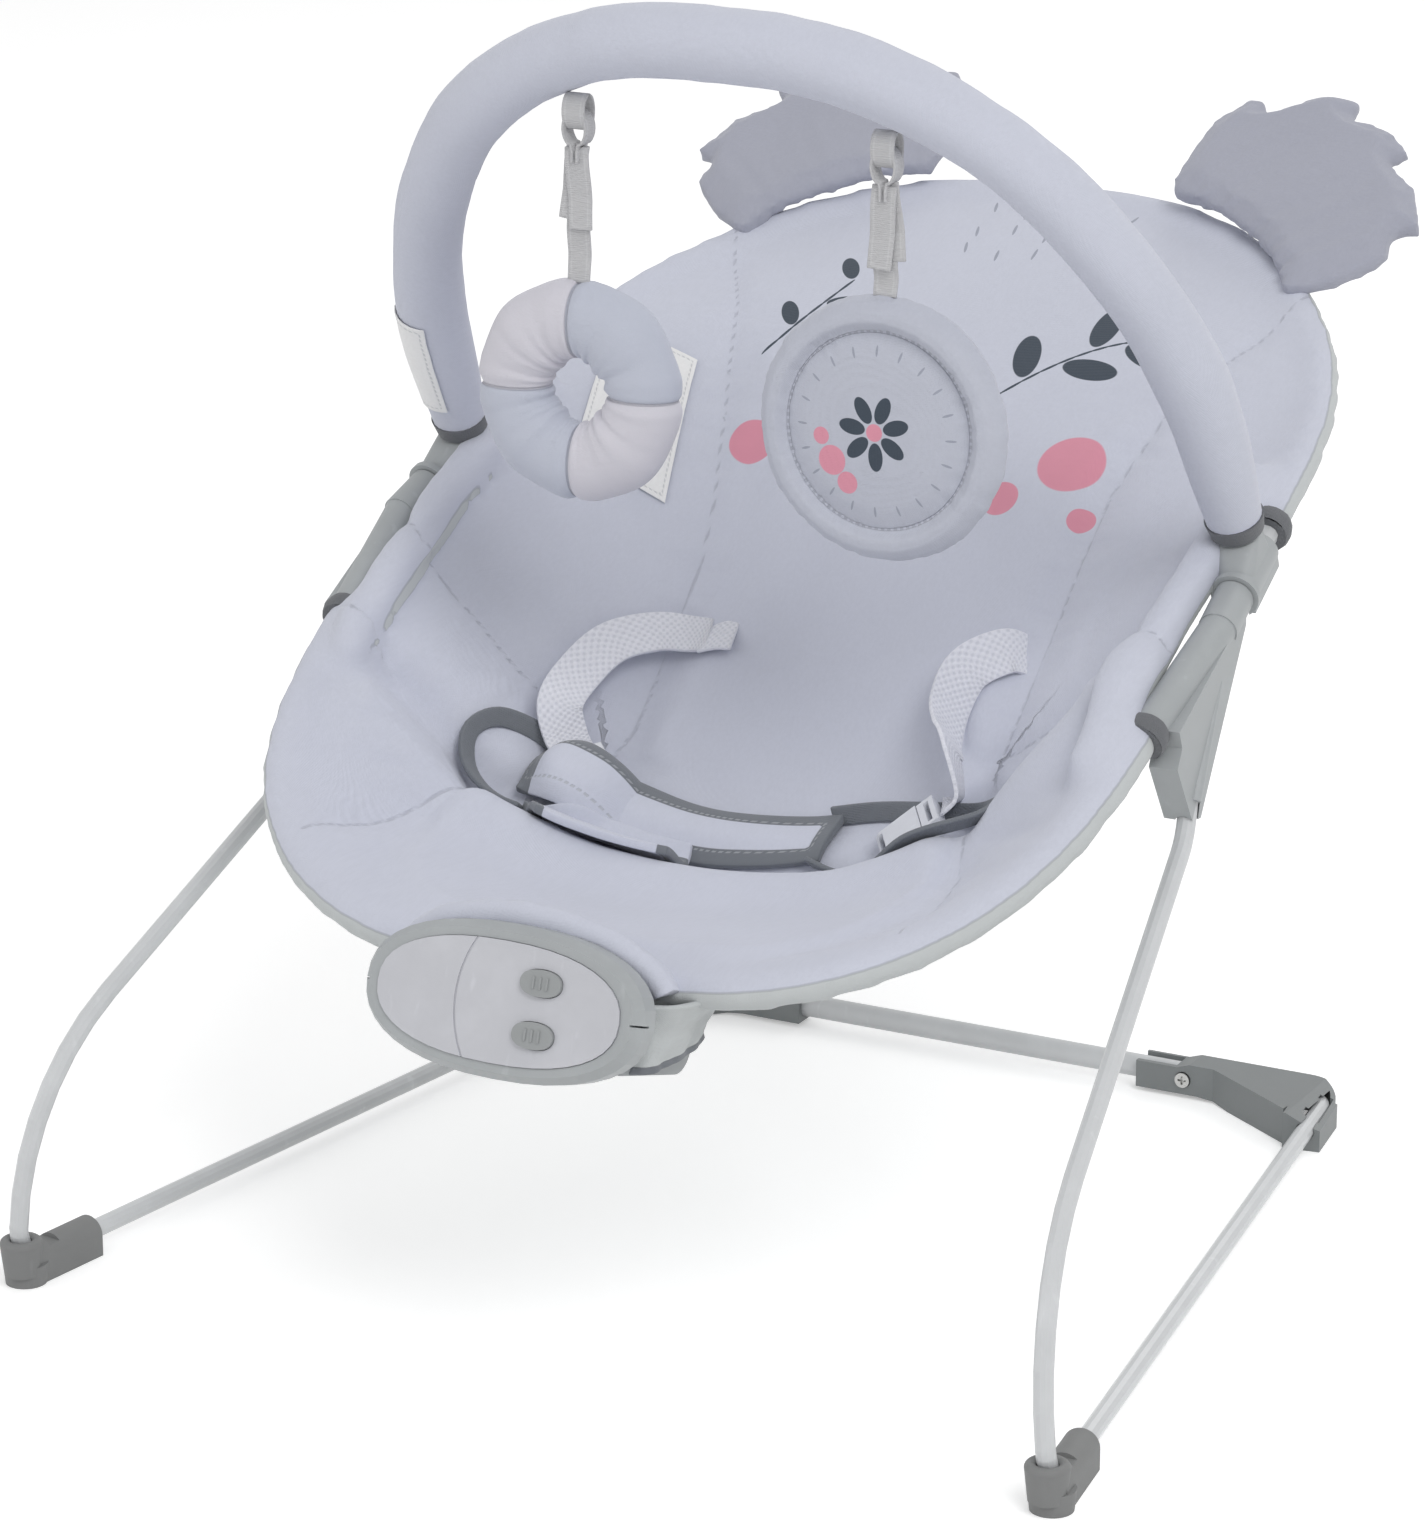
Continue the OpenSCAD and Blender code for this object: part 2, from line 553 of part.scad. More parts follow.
// Waist straps: out of the back panel and forward to the buckles. The left one lies outwards
// and the right one inwards; both are given for the right-hand side.
strap_end = [buckle_at + pull * 27, buckle_at + pull * 18.4];
left_strap = concat([
  on_pad(64, 5, 5.4), on_pad(74, 6, 8.6), on_pad(87, 0, 10.4), on_pad(98, -12, 11.4), on_pad(105, -28, 11.4),
  on_pad(107, -46, 15),
], strap_end);
right_strap = concat([
  on_pad(88, 20, 3.6), on_pad(77, 14, 8), on_pad(68, 2, 11), on_pad(65, -14, 13), on_pad(69, -31, 16),
  on_pad(82, -44, 20.5),
], strap_end);
module waist_strap(side) {
  places = side > 0 ? right_strap : left_strap;
  last = len(places) - 1;
  up_slope = seat_pt(0, 1, 0) - seat_pt(0, 0, 0);
  color("white") on_side(side)
    ribbon(places,
      [for (i = [0:last]) let (t = min(1, i / (last - 1))) unit(up_slope * (1 - t) + plug_side * t) * strap_w],
      strap_t);
}

module buckle_socket(side) {
  color("white") on_side(side) buckle_frame() difference() {
    union() {
      translate([-12, -9, -4]) cube([24, 18, 8]);
      translate([-12, -9, 0]) rotate([0, 90, 0]) cylinder(d = 8, h = 24);
    }
    translate([-9.5, -6, -2.4]) cube([19, 16, 4.8]);
    for (x = [-13, 9]) translate([x, -3, -2.4]) cube([4, 8, 4.8]);
    translate([-9.5, -11, -5]) cube([19, 2.6, 10]);
  }
}

module buckle_plug(side) {
  color("white") on_side(side) buckle_frame() {
    difference() {
      translate([-11.5, 9.4, -3.6]) cube([23, 8, 7.2]);
      translate([-9, 12.6, -5]) cube([18, 2.4, 10]);
    }
    translate([-2, -4, -2]) cube([4, 13.4, 4]);
    for (x = [-9, 6.4]) translate([x, -3.6, -2]) cube([2.6, 13, 4]);
    for (x = [-9, 5.2]) translate([x, -3.6, -2]) cube([3.8, 3.4, 4]);
  }
}

// ---- vibration unit ----

unit_centre = front_pt(0, -front_len);
// The unit's own frame: +X to the right, +Y out of its back, +Z up its face, the tube along X
module unit_frame() {
  translate(unit_centre) rotate([-unit_lean, 0, 0]) children();
}
face_y = -38;
face_z = -13;
case_back = -24;
plate_t = 2;

// Full-bodied oval in the plane of the face
module oval(w, h) {
  polygon([for (a = [0:9:351])
    [w / 2 * sign(cos(a)) * pow(abs(cos(a)), 0.86), h / 2 * sign(sin(a)) * pow(abs(sin(a)), 0.86)]]);
}
// A slab of that oval from y0 to y1
module oval_slab(w, h, y0, y1) {
  translate([0, y1, face_z]) rotate([90, 0, 0]) linear_extrude(y1 - y0) oval(w, h);
}
// Round pin along Y from y0 to y1
module pin(x, z, d, y0, y1) {
  translate([x, y1, z]) rotate([90, 0, 0]) cylinder(d = d, h = y1 - y0);
}
case_screw_at = [[-54, face_z], [54, face_z], [-38, face_z + 15], [38, face_z + 15]];

module unit_front_case() {
  color("darkgray") unit_frame() difference() {
    union() {
      difference() {
        hull() {
          oval_slab(unit_w, unit_h, face_y + 5, case_back);
          oval_slab(unit_w - 6, unit_h - 6, face_y, face_y + 1);
        }
        hull() {
          oval_slab(unit_w - 5, unit_h - 5, face_y + 6, case_back + 1);
          oval_slab(unit_w - 12, unit_h - 12, face_y + 4, face_y + 5);
        }
      }
      for (at = case_screw_at) pin(at[0], at[1], 6, face_y + 2.5, case_back - plate_t);
    }
    // seat of the face plate and the opening behind it
    oval_slab(unit_w - 16, unit_h - 12.6, face_y - 1, face_y + plate_t);
    oval_slab(unit_w - 24, unit_h - 20, face_y - 1, face_y + 6);
    for (at = case_screw_at) pin(at[0], at[1], 2.6, face_y + 5, case_back);
    // split-line notches at the two ends of the bezel
    for (x = [-unit_w / 2, unit_w / 2]) translate([x, face_y + 3, face_z]) cube([8, 12, 0.8], center = true);
  }
}

button_at = [[18.5, 10], [18, -10.5]];
board_y = face_y + 8;
board_peg_x = [-1, 30.5];

module face_plate() {
  color("white") unit_frame() difference() {
    union() {
      oval_slab(unit_w - 16.4, unit_h - 13, face_y - 0.8, face_y + plate_t);
      for (x = board_peg_x) {
        pin(x, face_z, 4, face_y + 1, board_y);
        pin(x, face_z, 2.4, face_y + 1, board_y + 2.4);
      }
    }
    for (at = button_at) translate([at[0], 0, at[1]]) oval_slab(18.5, 11.1, face_y - 3, face_y + 4);
    // curved groove across the plate
    intersection() {
      translate([28, face_y - 0.3, face_z]) rotate([90, 0, 0]) difference() {
        cylinder(r = 47, h = 4);
        translate([0, 0, -1]) cylinder(r = 46.1, h = 6);
      }
      translate([-40, -50, -60]) cube([44, 80, 100]);
    }
  }
}

// Push button: an oval cap with a flange behind the face plate
module button(at) {
  color("gray") unit_frame() translate([at[0], 0, at[1]]) {
    oval_slab(18, 10.6, face_y - 2.4, face_y + plate_t + 0.6);
    oval_slab(20.6, 13, face_y + plate_t, face_y + plate_t + 1.2);
    // raised grip ribs
    for (x = [-3, 0, 3]) translate([x - 0.5, face_y - 2.9, face_z - 2.4]) cube([1, 1, 4.8]);
  }
}

// Rear case: closing plate, saddle on the tube and the battery box below it
box_w = 100;
box_back = 34;
box_top = -13.5;
box_low = -34;
wall = 2;
saddle_w = 58;
clamp_screw_at = [for (x = [-22, 22], z = [-9.7, 9.7]) [x, z]];
cell_d = 14.5;
cell_x = [-45, 5.5];
cell_y = [-4, 11.5];
cell_z = -23.7;
motor_x = [15, 34];
motor_y = 6;
motor_d = 15.6;
module box_outline(inset) {
  // rounded lower back edge, seen from the side
  r = 11 - inset;
  polygon(concat(
    [[case_back + inset, box_low + inset], [case_back + inset, box_top - inset], [box_back - inset, box_top - inset]],
    [for (a = [0:-10:-90]) [box_back - inset - r + r * cos(a), box_low + inset + r + r * sin(a)]]));
}
module box_slab(inset, x0, x1) {
  translate([x0, 0, 0]) rotate([90, 0, 90]) linear_extrude(x1 - x0) box_outline(inset);
}
// Opening for the cells and the door's rebate round it
cell_way = [[cell_x[0] - 0.4, cell_y[0] - cell_d / 2 - 0.4], [cell_x[1] + 0.5, cell_y[1] + cell_d / 2 + 0.4]];
door_at = [cell_way[0] - [2, 2], [15.2, cell_way[1].y + 2]];
door_t = 1.2;
door_screw_at = [11.4, motor_y];
module between(a, b, z0, z1) {
  translate([a.x, a.y, z0]) cube([b.x - a.x, b.y - a.y, z1 - z0]);
}
// Cylinder along X from x0 to x1
module lying(y, z, d, x0, x1) {
  translate([x0, y, z]) rotate([0, 90, 0]) cylinder(d = d, h = x1 - x0);
}
module unit_rear_case() {
  color("darkgray") unit_frame() difference() {
    union() {
      oval_slab(unit_w - 5.4, unit_h - 5.4, case_back - plate_t, case_back);
      difference() {
        box_slab(0, -box_w / 2, box_w / 2);
        box_slab(wall, -box_w / 2 + wall, box_w / 2 - wall);
      }
      // contact holder, partition and motor cradle
      between([-box_w / 2 + 1, cell_y[0] - 5], [cell_x[0] - 0.6, cell_y[1] + 5], cell_z - 5, cell_z + 5);
      box_slab(1, cell_x[1] + 0.6, cell_x[1] + 2.6);
      for (x = [motor_x[0] + 3, motor_x[1] - 5]) intersection() {
        box_slab(1, x, x + 2);
        between([x - 1, -20], [x + 3, 60], box_low, cell_z);
      }
      // boss for the door's screw
      translate([door_screw_at.x, door_screw_at.y, box_low + 1]) cylinder(d = 6.4, h = 5);
      // saddle behind the closing plate
      difference() {
        between([-saddle_w / 2, case_back - 0.5], [saddle_w / 2, -0.3], box_top - 0.5, 13);
        between([-saddle_w / 2 + 14, case_back - 3], [saddle_w / 2 - 14, -8], box_top, 10);
      }
    }
    // way through the closing plate for the leads
    between([-14, case_back - 3], [14, case_back + 3], -30, -18);
    lying(0, 0, tube_d + 0.2, -60, 60);
    lying(motor_y, cell_z, motor_d + 0.1, motor_x[0] - 1, motor_x[1] + 9);
    between(cell_way[0], cell_way[1], box_low - 1, box_low + 4);
    between(door_at[0], door_at[1], box_low - 1, box_low + door_t);
    translate([door_screw_at.x, door_screw_at.y, box_low - 1]) cylinder(d = 2.6, h = 6.4);
    for (at = clamp_screw_at) pin(at[0], at[1], 2.4, -8, 2);
    for (at = case_screw_at) pin(at[0], at[1], 2.7, case_back - 4, case_back + 2);
  }
}

module tube_clamp() {
  color("dimgray") unit_frame() difference() {
    union() {
      translate([-saddle_w / 2, 0.3, -13]) cube([saddle_w, 2.7, 26]);
      translate([-saddle_w / 2, 0, 0]) rotate([0, 90, 0]) cylinder(d = 14, h = saddle_w);
    }
    translate([-60, -20.3, -20]) cube([120, 20.6, 40]);
    translate([-60, 0, 0]) rotate([0, 90, 0]) cylinder(d = tube_d + 0.2, h = 120);
    for (at = clamp_screw_at) pin(at[0], at[1], 2.7, -1, 14);
  }
}

module battery_door() {
  color("darkgray") unit_frame() difference() {
    union() {
      between(door_at[0] + [0.3, 0.3], door_at[1] - [0.3, 0.3], box_low, box_low + door_t);
      // ribs that hold the cells
      for (x = [-34, -8]) difference() {
        between([x, cell_y[0] - 7], [x + 2, cell_y[1] + 7], box_low + 1, cell_z - 2);
        for (y = cell_y) lying(y, cell_z, cell_d + 0.1, x - 1, x + 3);
      }
    }
    translate([door_screw_at.x, door_screw_at.y, box_low - 2]) cylinder(d = 3.2, h = 6);
    for (x = [-41:3:-32]) between([x, cell_y[0] - 4], [x + 1, cell_y[1] + 4], box_low - 1, box_low + 0.5);
  }
}

module door_screw() {
  color("silver") unit_frame() translate([door_screw_at.x, door_screw_at.y, box_low - 1.8]) {
    difference() {
      cylinder(d = 5.6, h = 1.8);
      for (turn = [0, 90]) rotate([0, 0, turn]) translate([-1.7, -0.45, -0.5]) cube([3.4, 0.9, 1.3]);
    }
    cylinder(d = 2.5, h = 7);
  }
}

// Two cells side by side, their nubs at opposite ends
module battery() {
  color("steelblue") unit_frame() for (k = [0, 1]) {
    lying(cell_y[k], cell_z, cell_d, cell_x[0] + 1.2 * k, cell_x[1] - 1.2 * (1 - k));
    lying(cell_y[k], cell_z, 5.4, cell_x[0], cell_x[1]);
  }
}

module battery_contacts() {
  color("silver") unit_frame() for (x = [cell_x[0] - 0.6, cell_x[1]])
    between([x, cell_y[0] - 5], [x + 0.6, cell_y[1] + 5], cell_z - 5, cell_z + 5);
}

module motor() {
  color("silver") unit_frame() {
    lying(motor_y, cell_z, motor_d, motor_x[0], motor_x[1]);
    lying(motor_y, cell_z, 6, motor_x[0], motor_x[1] + 2);
    lying(motor_y, cell_z, 2, motor_x[0], motor_x[1] + 11);
  }
}

// Half-round weight, hanging straight down from the shaft
module motor_weight() {
  color("darkgoldenrod") unit_frame() translate([motor_x[1] + 3.4, motor_y, cell_z])
    rotate([unit_lean, 0, 0]) rotate([0, 90, 0]) difference() {
      union() {
        cylinder(d = 6, h = 7.4);
        intersection() {
          cylinder(r = 7.8, h = 7.4);
          translate([0, -8, 0]) cube([8, 16, 7.4]);
        }
      }
      translate([0, 0, -1]) cylinder(d = 2.08, h = 12);
    }
}

module circuit_board() {
  color("darkgreen") unit_frame() difference() {
    between([-4, board_y], [33.5, board_y + 1.6], face_z - 16, face_z + 15);
    for (x = board_peg_x) pin(x, face_z, 2.5, board_y - 1, board_y + 3);
  }
}

module tact_switches() {
  color("black") unit_frame() for (at = button_at) {
    translate([at[0] - 3, board_y - 2.2, face_z + at[1] - 3]) cube([6, 2.2, 6]);
    pin(at[0], face_z + at[1], 3.4, board_y - 3, board_y - 2);
  }
}

// Pan-head screw along -Y with its head's seat at y
module case_screw(x, z, y, len) {
  pin(x, z, 5, y, y + 1.8);
  pin(x, z, 2.3, y - len, y + 1);
}
module case_screws() {
  color("silver") unit_frame() {
    for (at = case_screw_at) case_screw(at[0], at[1], case_back, 9);
    for (at = clamp_screw_at) case_screw(at[0], at[1], 3, 10);
  }
}

// ---- toy bar ----

arch_base_y = hinge_y + 34.5;
arch_base_z = hinge_z + 37.5;
function arch_pt(x, h) = [x, arch_base_y - h * sin(arch_lean), arch_base_z + h * cos(arch_lean)];
arch_corners = [[arch_half_w, 0], [arch_half_w - 5, 102], [arch_half_w - 90, arch_h]];
arch_radii = [220, 158, 158, 220];
arch_path = [for (q = concat(arch_corners, [for (i = [2:-1:0]) [-arch_corners[i].x, arch_corners[i].y]]))
  arch_pt(q.x, q.y)];
bar_tube_d = 9;
arch_up = unit(arch_pt(0, 1) - arch_pt(0, 0));

module toy_bar_tube() {
  color("whitesmoke") swept_tube(longer(arch_path, 12), arch_radii, bar_tube_d, bar_tube_d - 2.4);
}

module toy_bar_sleeve() {
  color("lavender") swept_tube(arch_path, arch_radii, bar_sleeve_d, bar_tube_d + 0.6, 16, 24);
}

// Bound hem that draws the end of the sleeve in
module sleeve_hem(side) {
  down = unit(arch_path[0] - arch_path[1]);
  color("dimgray") on_side(side)
    multmatrix(frame_at(arch_path[0], down, square_to(down))) difference() {
      cylinder(d1 = 25, d2 = 22.6, h = 7);
      translate([0, 0, -1]) cylinder(d = 20.6, h = 9);
    }
}

// Clip: a saddle pressed down on the frame tube, a neck and a socket for the arch
clip_s = 38;
clip_len = 33;
tube_here = back_side(clip_s);
clip_along = unit(back_side(clip_s + 1) - back_side(clip_s));
clip_up = unit(back_pt(0, 0, 1) - back_pt(0, 0, 0));
clip_side = cross(clip_along, clip_up);
module clip_frame() {
  multmatrix(frame_at(tube_here, clip_up, clip_side)) children();
}
module toy_bar_clip(side) {
  socket_top = arch_path[0] - unit(arch_path[1] - arch_path[0]) * 0.4;
  socket_low = arch_path[0] - unit(arch_path[1] - arch_path[0]) * 14.5;
  socket_way = unit(socket_top - socket_low);
  color("gray") on_side(side) difference() {
    union() {
      // saddle with a lip round its front end
      clip_frame() {
        translate([0, clip_len / 2, 0]) rotate([90, 0, 0]) cylinder(d = 17.4, h = clip_len);
        translate([-8.2, -clip_len / 2, -7.6]) cube([16.4, clip_len, 8.6]);
        translate([0, 3 - clip_len / 2, 0]) rotate([90, 0, 0]) cylinder(d = 20.4, h = 3);
      }
      bar(socket_low, socket_top, 20);
      // neck: from the saddle into the socket
      hull() {
        clip_frame() translate([0, 11, 0]) rotate([90, 0, 0]) cylinder(d = 16, h = 24);
        bar(socket_low - socket_way * 2, socket_low + socket_way * 6.5, 19);
      }
    }
    // bore on the tube, open below so that the clip lifts off
    clip_frame() {
      translate([0, clip_len, 0]) rotate([90, 0, 0]) cylinder(d = tube_d + 0.4, h = 2 * clip_len);
      translate([-tube_d / 2 - 0.06, -clip_len, -20]) cube([tube_d + 0.12, 2 * clip_len, 20]);
      // thumb groove on the outer face
      translate([18.6, -2, 9]) rotate([90, 0, 0]) translate([0, 0, -40]) cylinder(r = 10, h = 80);
    }
    bar(socket_low, socket_top + (socket_top - socket_low) * 0.2, bar_tube_d + 0.2);
  }
}

// ---- toys ----

toy_x = [-65, 73];
loop_r = 7;
tape_t = 1.2;
tape_w = 10;
// The arch's own height above x, on the bend nearest the middle
function arch_at(x) =
  let (r = arch_radii[1], cut = r / tan(half_angle([arch_corners[1].x, arch_corners[1].y, 0],
      [arch_corners[2].x, arch_corners[2].y, 0], [0, arch_h, 0])),
    x0 = arch_corners[2].x - cut, dx = max(0, abs(x) - x0))
  arch_pt(x, arch_h - r + sqrt(r * r - dx * dx));
function loop_centre(x) = arch_at(x) - [0, 0, bar_sleeve_d / 2 + loop_r + 2.6];
toy_z = 363;

module bar_loops() {
  color("tan") for (x = toy_x) translate(loop_centre(x)) rotate([0, 90, 0]) difference() {
    cylinder(r = loop_r + tape_t / 2, h = tape_w, center = true);
    cylinder(r = loop_r - tape_t / 2, h = tape_w + 2, center = true);
  }
}

// Tape strap: a loop through the bar's loop, a fastening tab and a tail sewn to the toy
module toy_strap(x, toy_top) {
  top = loop_centre(x);
  eye_z = top.z - loop_r;
  color("tan") translate([x, top.y, 0]) {
    translate([0, 0, eye_z]) rotate([90, 0, 0]) difference() {
      cylinder(r = loop_r + tape_t / 2, h = tape_w, center = true);
      cylinder(r = loop_r - tape_t / 2, h = tape_w + 2, center = true);
    }
    translate([-tape_w / 2, -tape_t, eye_z - loop_r - 34]) cube([tape_w, 2 * tape_t, 34]);
    translate([-tape_w / 2, -tape_t / 2, toy_top]) cube([tape_w, tape_t, eye_z - loop_r - toy_top - 33]);
  }
}

module ring_strap() { toy_strap(toy_x[0], toy_z + ring_toy_d / 2 + 0.2); }
module disc_strap() { toy_strap(toy_x[1], toy_z + disc_toy_d / 2 + 0.2); }

toy_t = 26;
module ring_toy() {
  color("thistle") translate([toy_x[0], loop_centre(toy_x[0]).y, toy_z]) rotate([90, 0, 0])
    rotate_extrude() {
      translate([25, 0]) circle(d = toy_t);
      translate([ring_toy_d / 2 - toy_t / 2, 0]) circle(d = toy_t);
      translate([25, -toy_t / 2]) square([ring_toy_d / 2 - toy_t / 2 - 25, toy_t]);
    }
}

disc_t = 24;
module disc_toy() {
  color("lavender") translate([toy_x[1], loop_centre(toy_x[1]).y, toy_z]) rotate([90, 0, 0])
    rotate_extrude() {
      translate([disc_toy_d / 2 - disc_t / 2, 0]) circle(d = disc_t);
      translate([0, -disc_t / 2]) square([disc_toy_d / 2 - disc_t / 2, disc_t]);
    }
}

leg_wire(-1);  // leg_wire_left
leg_wire(1);  // leg_wire_right
front_foot(-1);  // front_foot_left
front_foot(1);  // front_foot_right
rear_corner(-1);  // rear_corner_left
rear_corner(1);  // rear_corner_right
rear_crossbar();
rear_screws();
seat_tube_front();
seat_tube_back();
side_bracket(-1);  // side_bracket_left
side_bracket(1);  // side_bracket_right
bracket_screws();
sleeve_front();
sleeve_back();
seat_pad();
ear(-1);  // ear_left
ear(1);  // ear_right
crotch_panel();
waist_strap(-1);  // waist_strap_left
waist_strap(1);  // waist_strap_right
buckle_socket(-1);  // buckle_socket_left
buckle_socket(1);  // buckle_socket_right
buckle_plug(-1);  // buckle_plug_left
buckle_plug(1);  // buckle_plug_right
unit_front_case();
face_plate();
button(button_at[0]);  // button_upper
button(button_at[1]);  // button_lower
unit_rear_case();
tube_clamp();
battery_door();
door_screw();
battery();
battery_contacts();
circuit_board();
tact_switches();
motor();
motor_weight();
case_screws();
toy_bar_tube();
toy_bar_sleeve();
sleeve_hem(-1);  // sleeve_hem_left
sleeve_hem(1);  // sleeve_hem_right
toy_bar_clip(-1);  // toy_bar_clip_left
toy_bar_clip(1);  // toy_bar_clip_right
bar_loops();
ring_toy();
ring_strap();
disc_toy();
disc_strap();
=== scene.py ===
import math
import bmesh
import bpy
import numpy as np
from mathutils import Matrix, Vector, noise
from mathutils.bvhtree import BVHTree


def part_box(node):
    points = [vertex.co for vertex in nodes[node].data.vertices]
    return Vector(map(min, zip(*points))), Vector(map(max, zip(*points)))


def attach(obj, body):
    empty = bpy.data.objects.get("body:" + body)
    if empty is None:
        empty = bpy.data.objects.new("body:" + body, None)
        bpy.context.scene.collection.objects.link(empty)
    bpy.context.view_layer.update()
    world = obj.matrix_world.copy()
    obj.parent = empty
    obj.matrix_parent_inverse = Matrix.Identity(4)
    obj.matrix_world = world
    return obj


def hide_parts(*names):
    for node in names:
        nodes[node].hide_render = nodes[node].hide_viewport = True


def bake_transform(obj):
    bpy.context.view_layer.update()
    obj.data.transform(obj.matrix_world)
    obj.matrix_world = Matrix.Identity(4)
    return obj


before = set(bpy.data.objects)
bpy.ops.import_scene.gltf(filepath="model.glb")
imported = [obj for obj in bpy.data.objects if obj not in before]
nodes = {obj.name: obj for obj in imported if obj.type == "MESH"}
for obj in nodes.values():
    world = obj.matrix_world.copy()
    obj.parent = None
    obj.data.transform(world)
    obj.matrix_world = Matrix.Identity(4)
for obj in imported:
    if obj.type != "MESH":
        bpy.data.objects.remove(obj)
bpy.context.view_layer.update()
scene = bpy.context.scene
print("frame loaded:", len(nodes), "parts")

# ---- camera and light ----
cameraSetup = {"place": (1.0066, -2.0140, 0.9049), "target": (-0.0236, -0.0600, 0.1957), "lens": 128.9}
lightSetup = {
    "key": {"place": (1.9, -1.5, 2.7), "size": 1.8, "power": 42},
    "fill": {"place": (-2.4, -2.2, 1.3), "size": 2.4, "power": 15},
    "back": {"place": (0.2, 2.4, 2.2), "size": 2.0, "power": 16},
    "worldStrength": 0.56,
}

cameraData = bpy.data.cameras.new("camera")
cameraData.lens, cameraData.sensor_width = cameraSetup["lens"], 36
cameraData.clip_start, cameraData.clip_end = 0.05, 60
camera = bpy.data.objects.new("camera", cameraData)
camera.location = cameraSetup["place"]
aim = Vector(cameraSetup["target"]) - camera.location
camera.rotation_euler = aim.to_track_quat("-Z", "Y").to_euler()
scene.collection.objects.link(camera)
scene.camera = camera
scene.view_settings.view_transform = "Standard"


# ---- shader helpers ----
def srgb(red, green, blue):
    values = [c / 255 for c in (red, green, blue)]
    return tuple(c / 12.92 if c < 0.04045 else ((c + 0.055) / 1.055) ** 2.4 for c in values) + (1,)


def shadeOf(colour, share):
    return tuple(min(1, c * share) for c in colour[:3]) + (1,)


def addNode(tree, kind, **settings):
    node = tree.nodes.new(kind if kind.startswith("NodeGroup") else "ShaderNode" + kind)
    for key, value in settings.items():
        setattr(node, key, value)
    return node


def feed(tree, socket, value):
    # a socket takes either a link or a plain value
    if isinstance(value, bpy.types.NodeSocket):
        tree.links.new(value, socket)
    elif value is not None:
        socket.default_value = value


def setInputs(node, values):
    for key, value in values.items():
        node.inputs[key].default_value = value


def maths(tree, operation, a, b=None):
    node = addNode(tree, "Math", operation=operation)
    feed(tree, node.inputs[0], a)
    feed(tree, node.inputs[1], b)
    return node.outputs[0]


def times(tree, a, b):
    return maths(tree, "MULTIPLY", a, b)


def plus(tree, a, b):
    return maths(tree, "ADD", a, b)


def minus(tree, a, b):
    return maths(tree, "SUBTRACT", a, b)


def wave(tree, value, length):
    # -1 to 1 and back over each length
    return maths(tree, "SINE", times(tree, value, 6.283 / length))


def partsOf(tree, vector):
    split = addNode(tree, "SeparateXYZ")
    feed(tree, split.inputs[0], vector)
    return split.outputs


def spread(tree, value, low, high, toLow=0.0, toHigh=1.0):
    # a smooth step from toLow to toHigh as the value goes from low to high
    node = addNode(tree, "MapRange", interpolation_type="SMOOTHSTEP")
    for k, v in enumerate((value, low, high, toLow, toHigh)):
        feed(tree, node.inputs[k], v)
    return node.outputs[0]


def mixColour(tree, factor, a, b, blend="MIX"):
    node = addNode(tree, "Mix", data_type="RGBA", blend_type=blend)
    feed(tree, node.inputs[0], factor)
    feed(tree, node.inputs[6], a)
    feed(tree, node.inputs[7], b)
    return node.outputs[2]


def noiseAt(tree, vector, scale, detail=2.0, roughness=0.5, stretch=None):
    if stretch:
        mapping = addNode(tree, "Mapping")
        feed(tree, mapping.inputs["Vector"], vector)
        setInputs(mapping, {"Scale": stretch})
        vector = mapping.outputs[0]
    node = addNode(tree, "TexNoise")
    for key, value in {"Vector": vector, "Scale": scale, "Detail": detail, "Roughness": roughness}.items():
        feed(tree, node.inputs[key], value)
    return node.outputs["Fac"]


def newGroup(name, inputs, outputs):
    group = bpy.data.node_groups.new(name, "ShaderNodeTree")
    for label, kind, default in inputs:
        socket = group.interface.new_socket(label, in_out="INPUT", socket_type="NodeSocket" + kind)
        if default is not None:
            socket.default_value = default
    for label, kind in outputs:
        group.interface.new_socket(label, in_out="OUTPUT", socket_type="NodeSocket" + kind)
    return group, group.nodes.new("NodeGroupInput"), group.nodes.new("NodeGroupOutput")


def useGroup(tree, group, **values):
    node = addNode(tree, "Group", node_tree=group)
    for key, value in values.items():
        feed(tree, node.inputs[key], value)
    return node


# fine plain weave with soft cloth unevenness: height in metres and a light tint mask
def buildClothGroup():
    group, given, result = newGroup("clothSurface",
        [("Vector", "Vector", None), ("Threads", "Float", 1500.0), ("Weave", "Float", 0.00004),
         ("Puckers", "Float", 0.0006)], [("Height", "Float"), ("Tint", "Float")])
    place, threads = given.outputs["Vector"], given.outputs["Threads"]
    split = partsOf(group, place)
    waves = [maths(group, "SINE", times(group, split[axis], times(group, threads, 6.283))) for axis in (0, 1, 2)]
    grid = times(group, plus(group, waves[0], waves[2]), waves[1])
    soft = noiseAt(group, place, 18, 2, 0.45)
    fine = noiseAt(group, place, 90, 2, 0.5)
    bulk = plus(group, soft, times(group, fine, 0.08))
    height = plus(group, times(group, grid, given.outputs["Weave"]),
                   times(group, bulk, given.outputs["Puckers"]))
    group.links.new(height, result.inputs["Height"])
    slubs = noiseAt(group, place, 700, 1, 0.5, (1, 0.12, 1))
    tint = plus(group, times(group, slubs, 0.5), times(group, soft, 0.5))
    group.links.new(tint, result.inputs["Tint"])
    return group


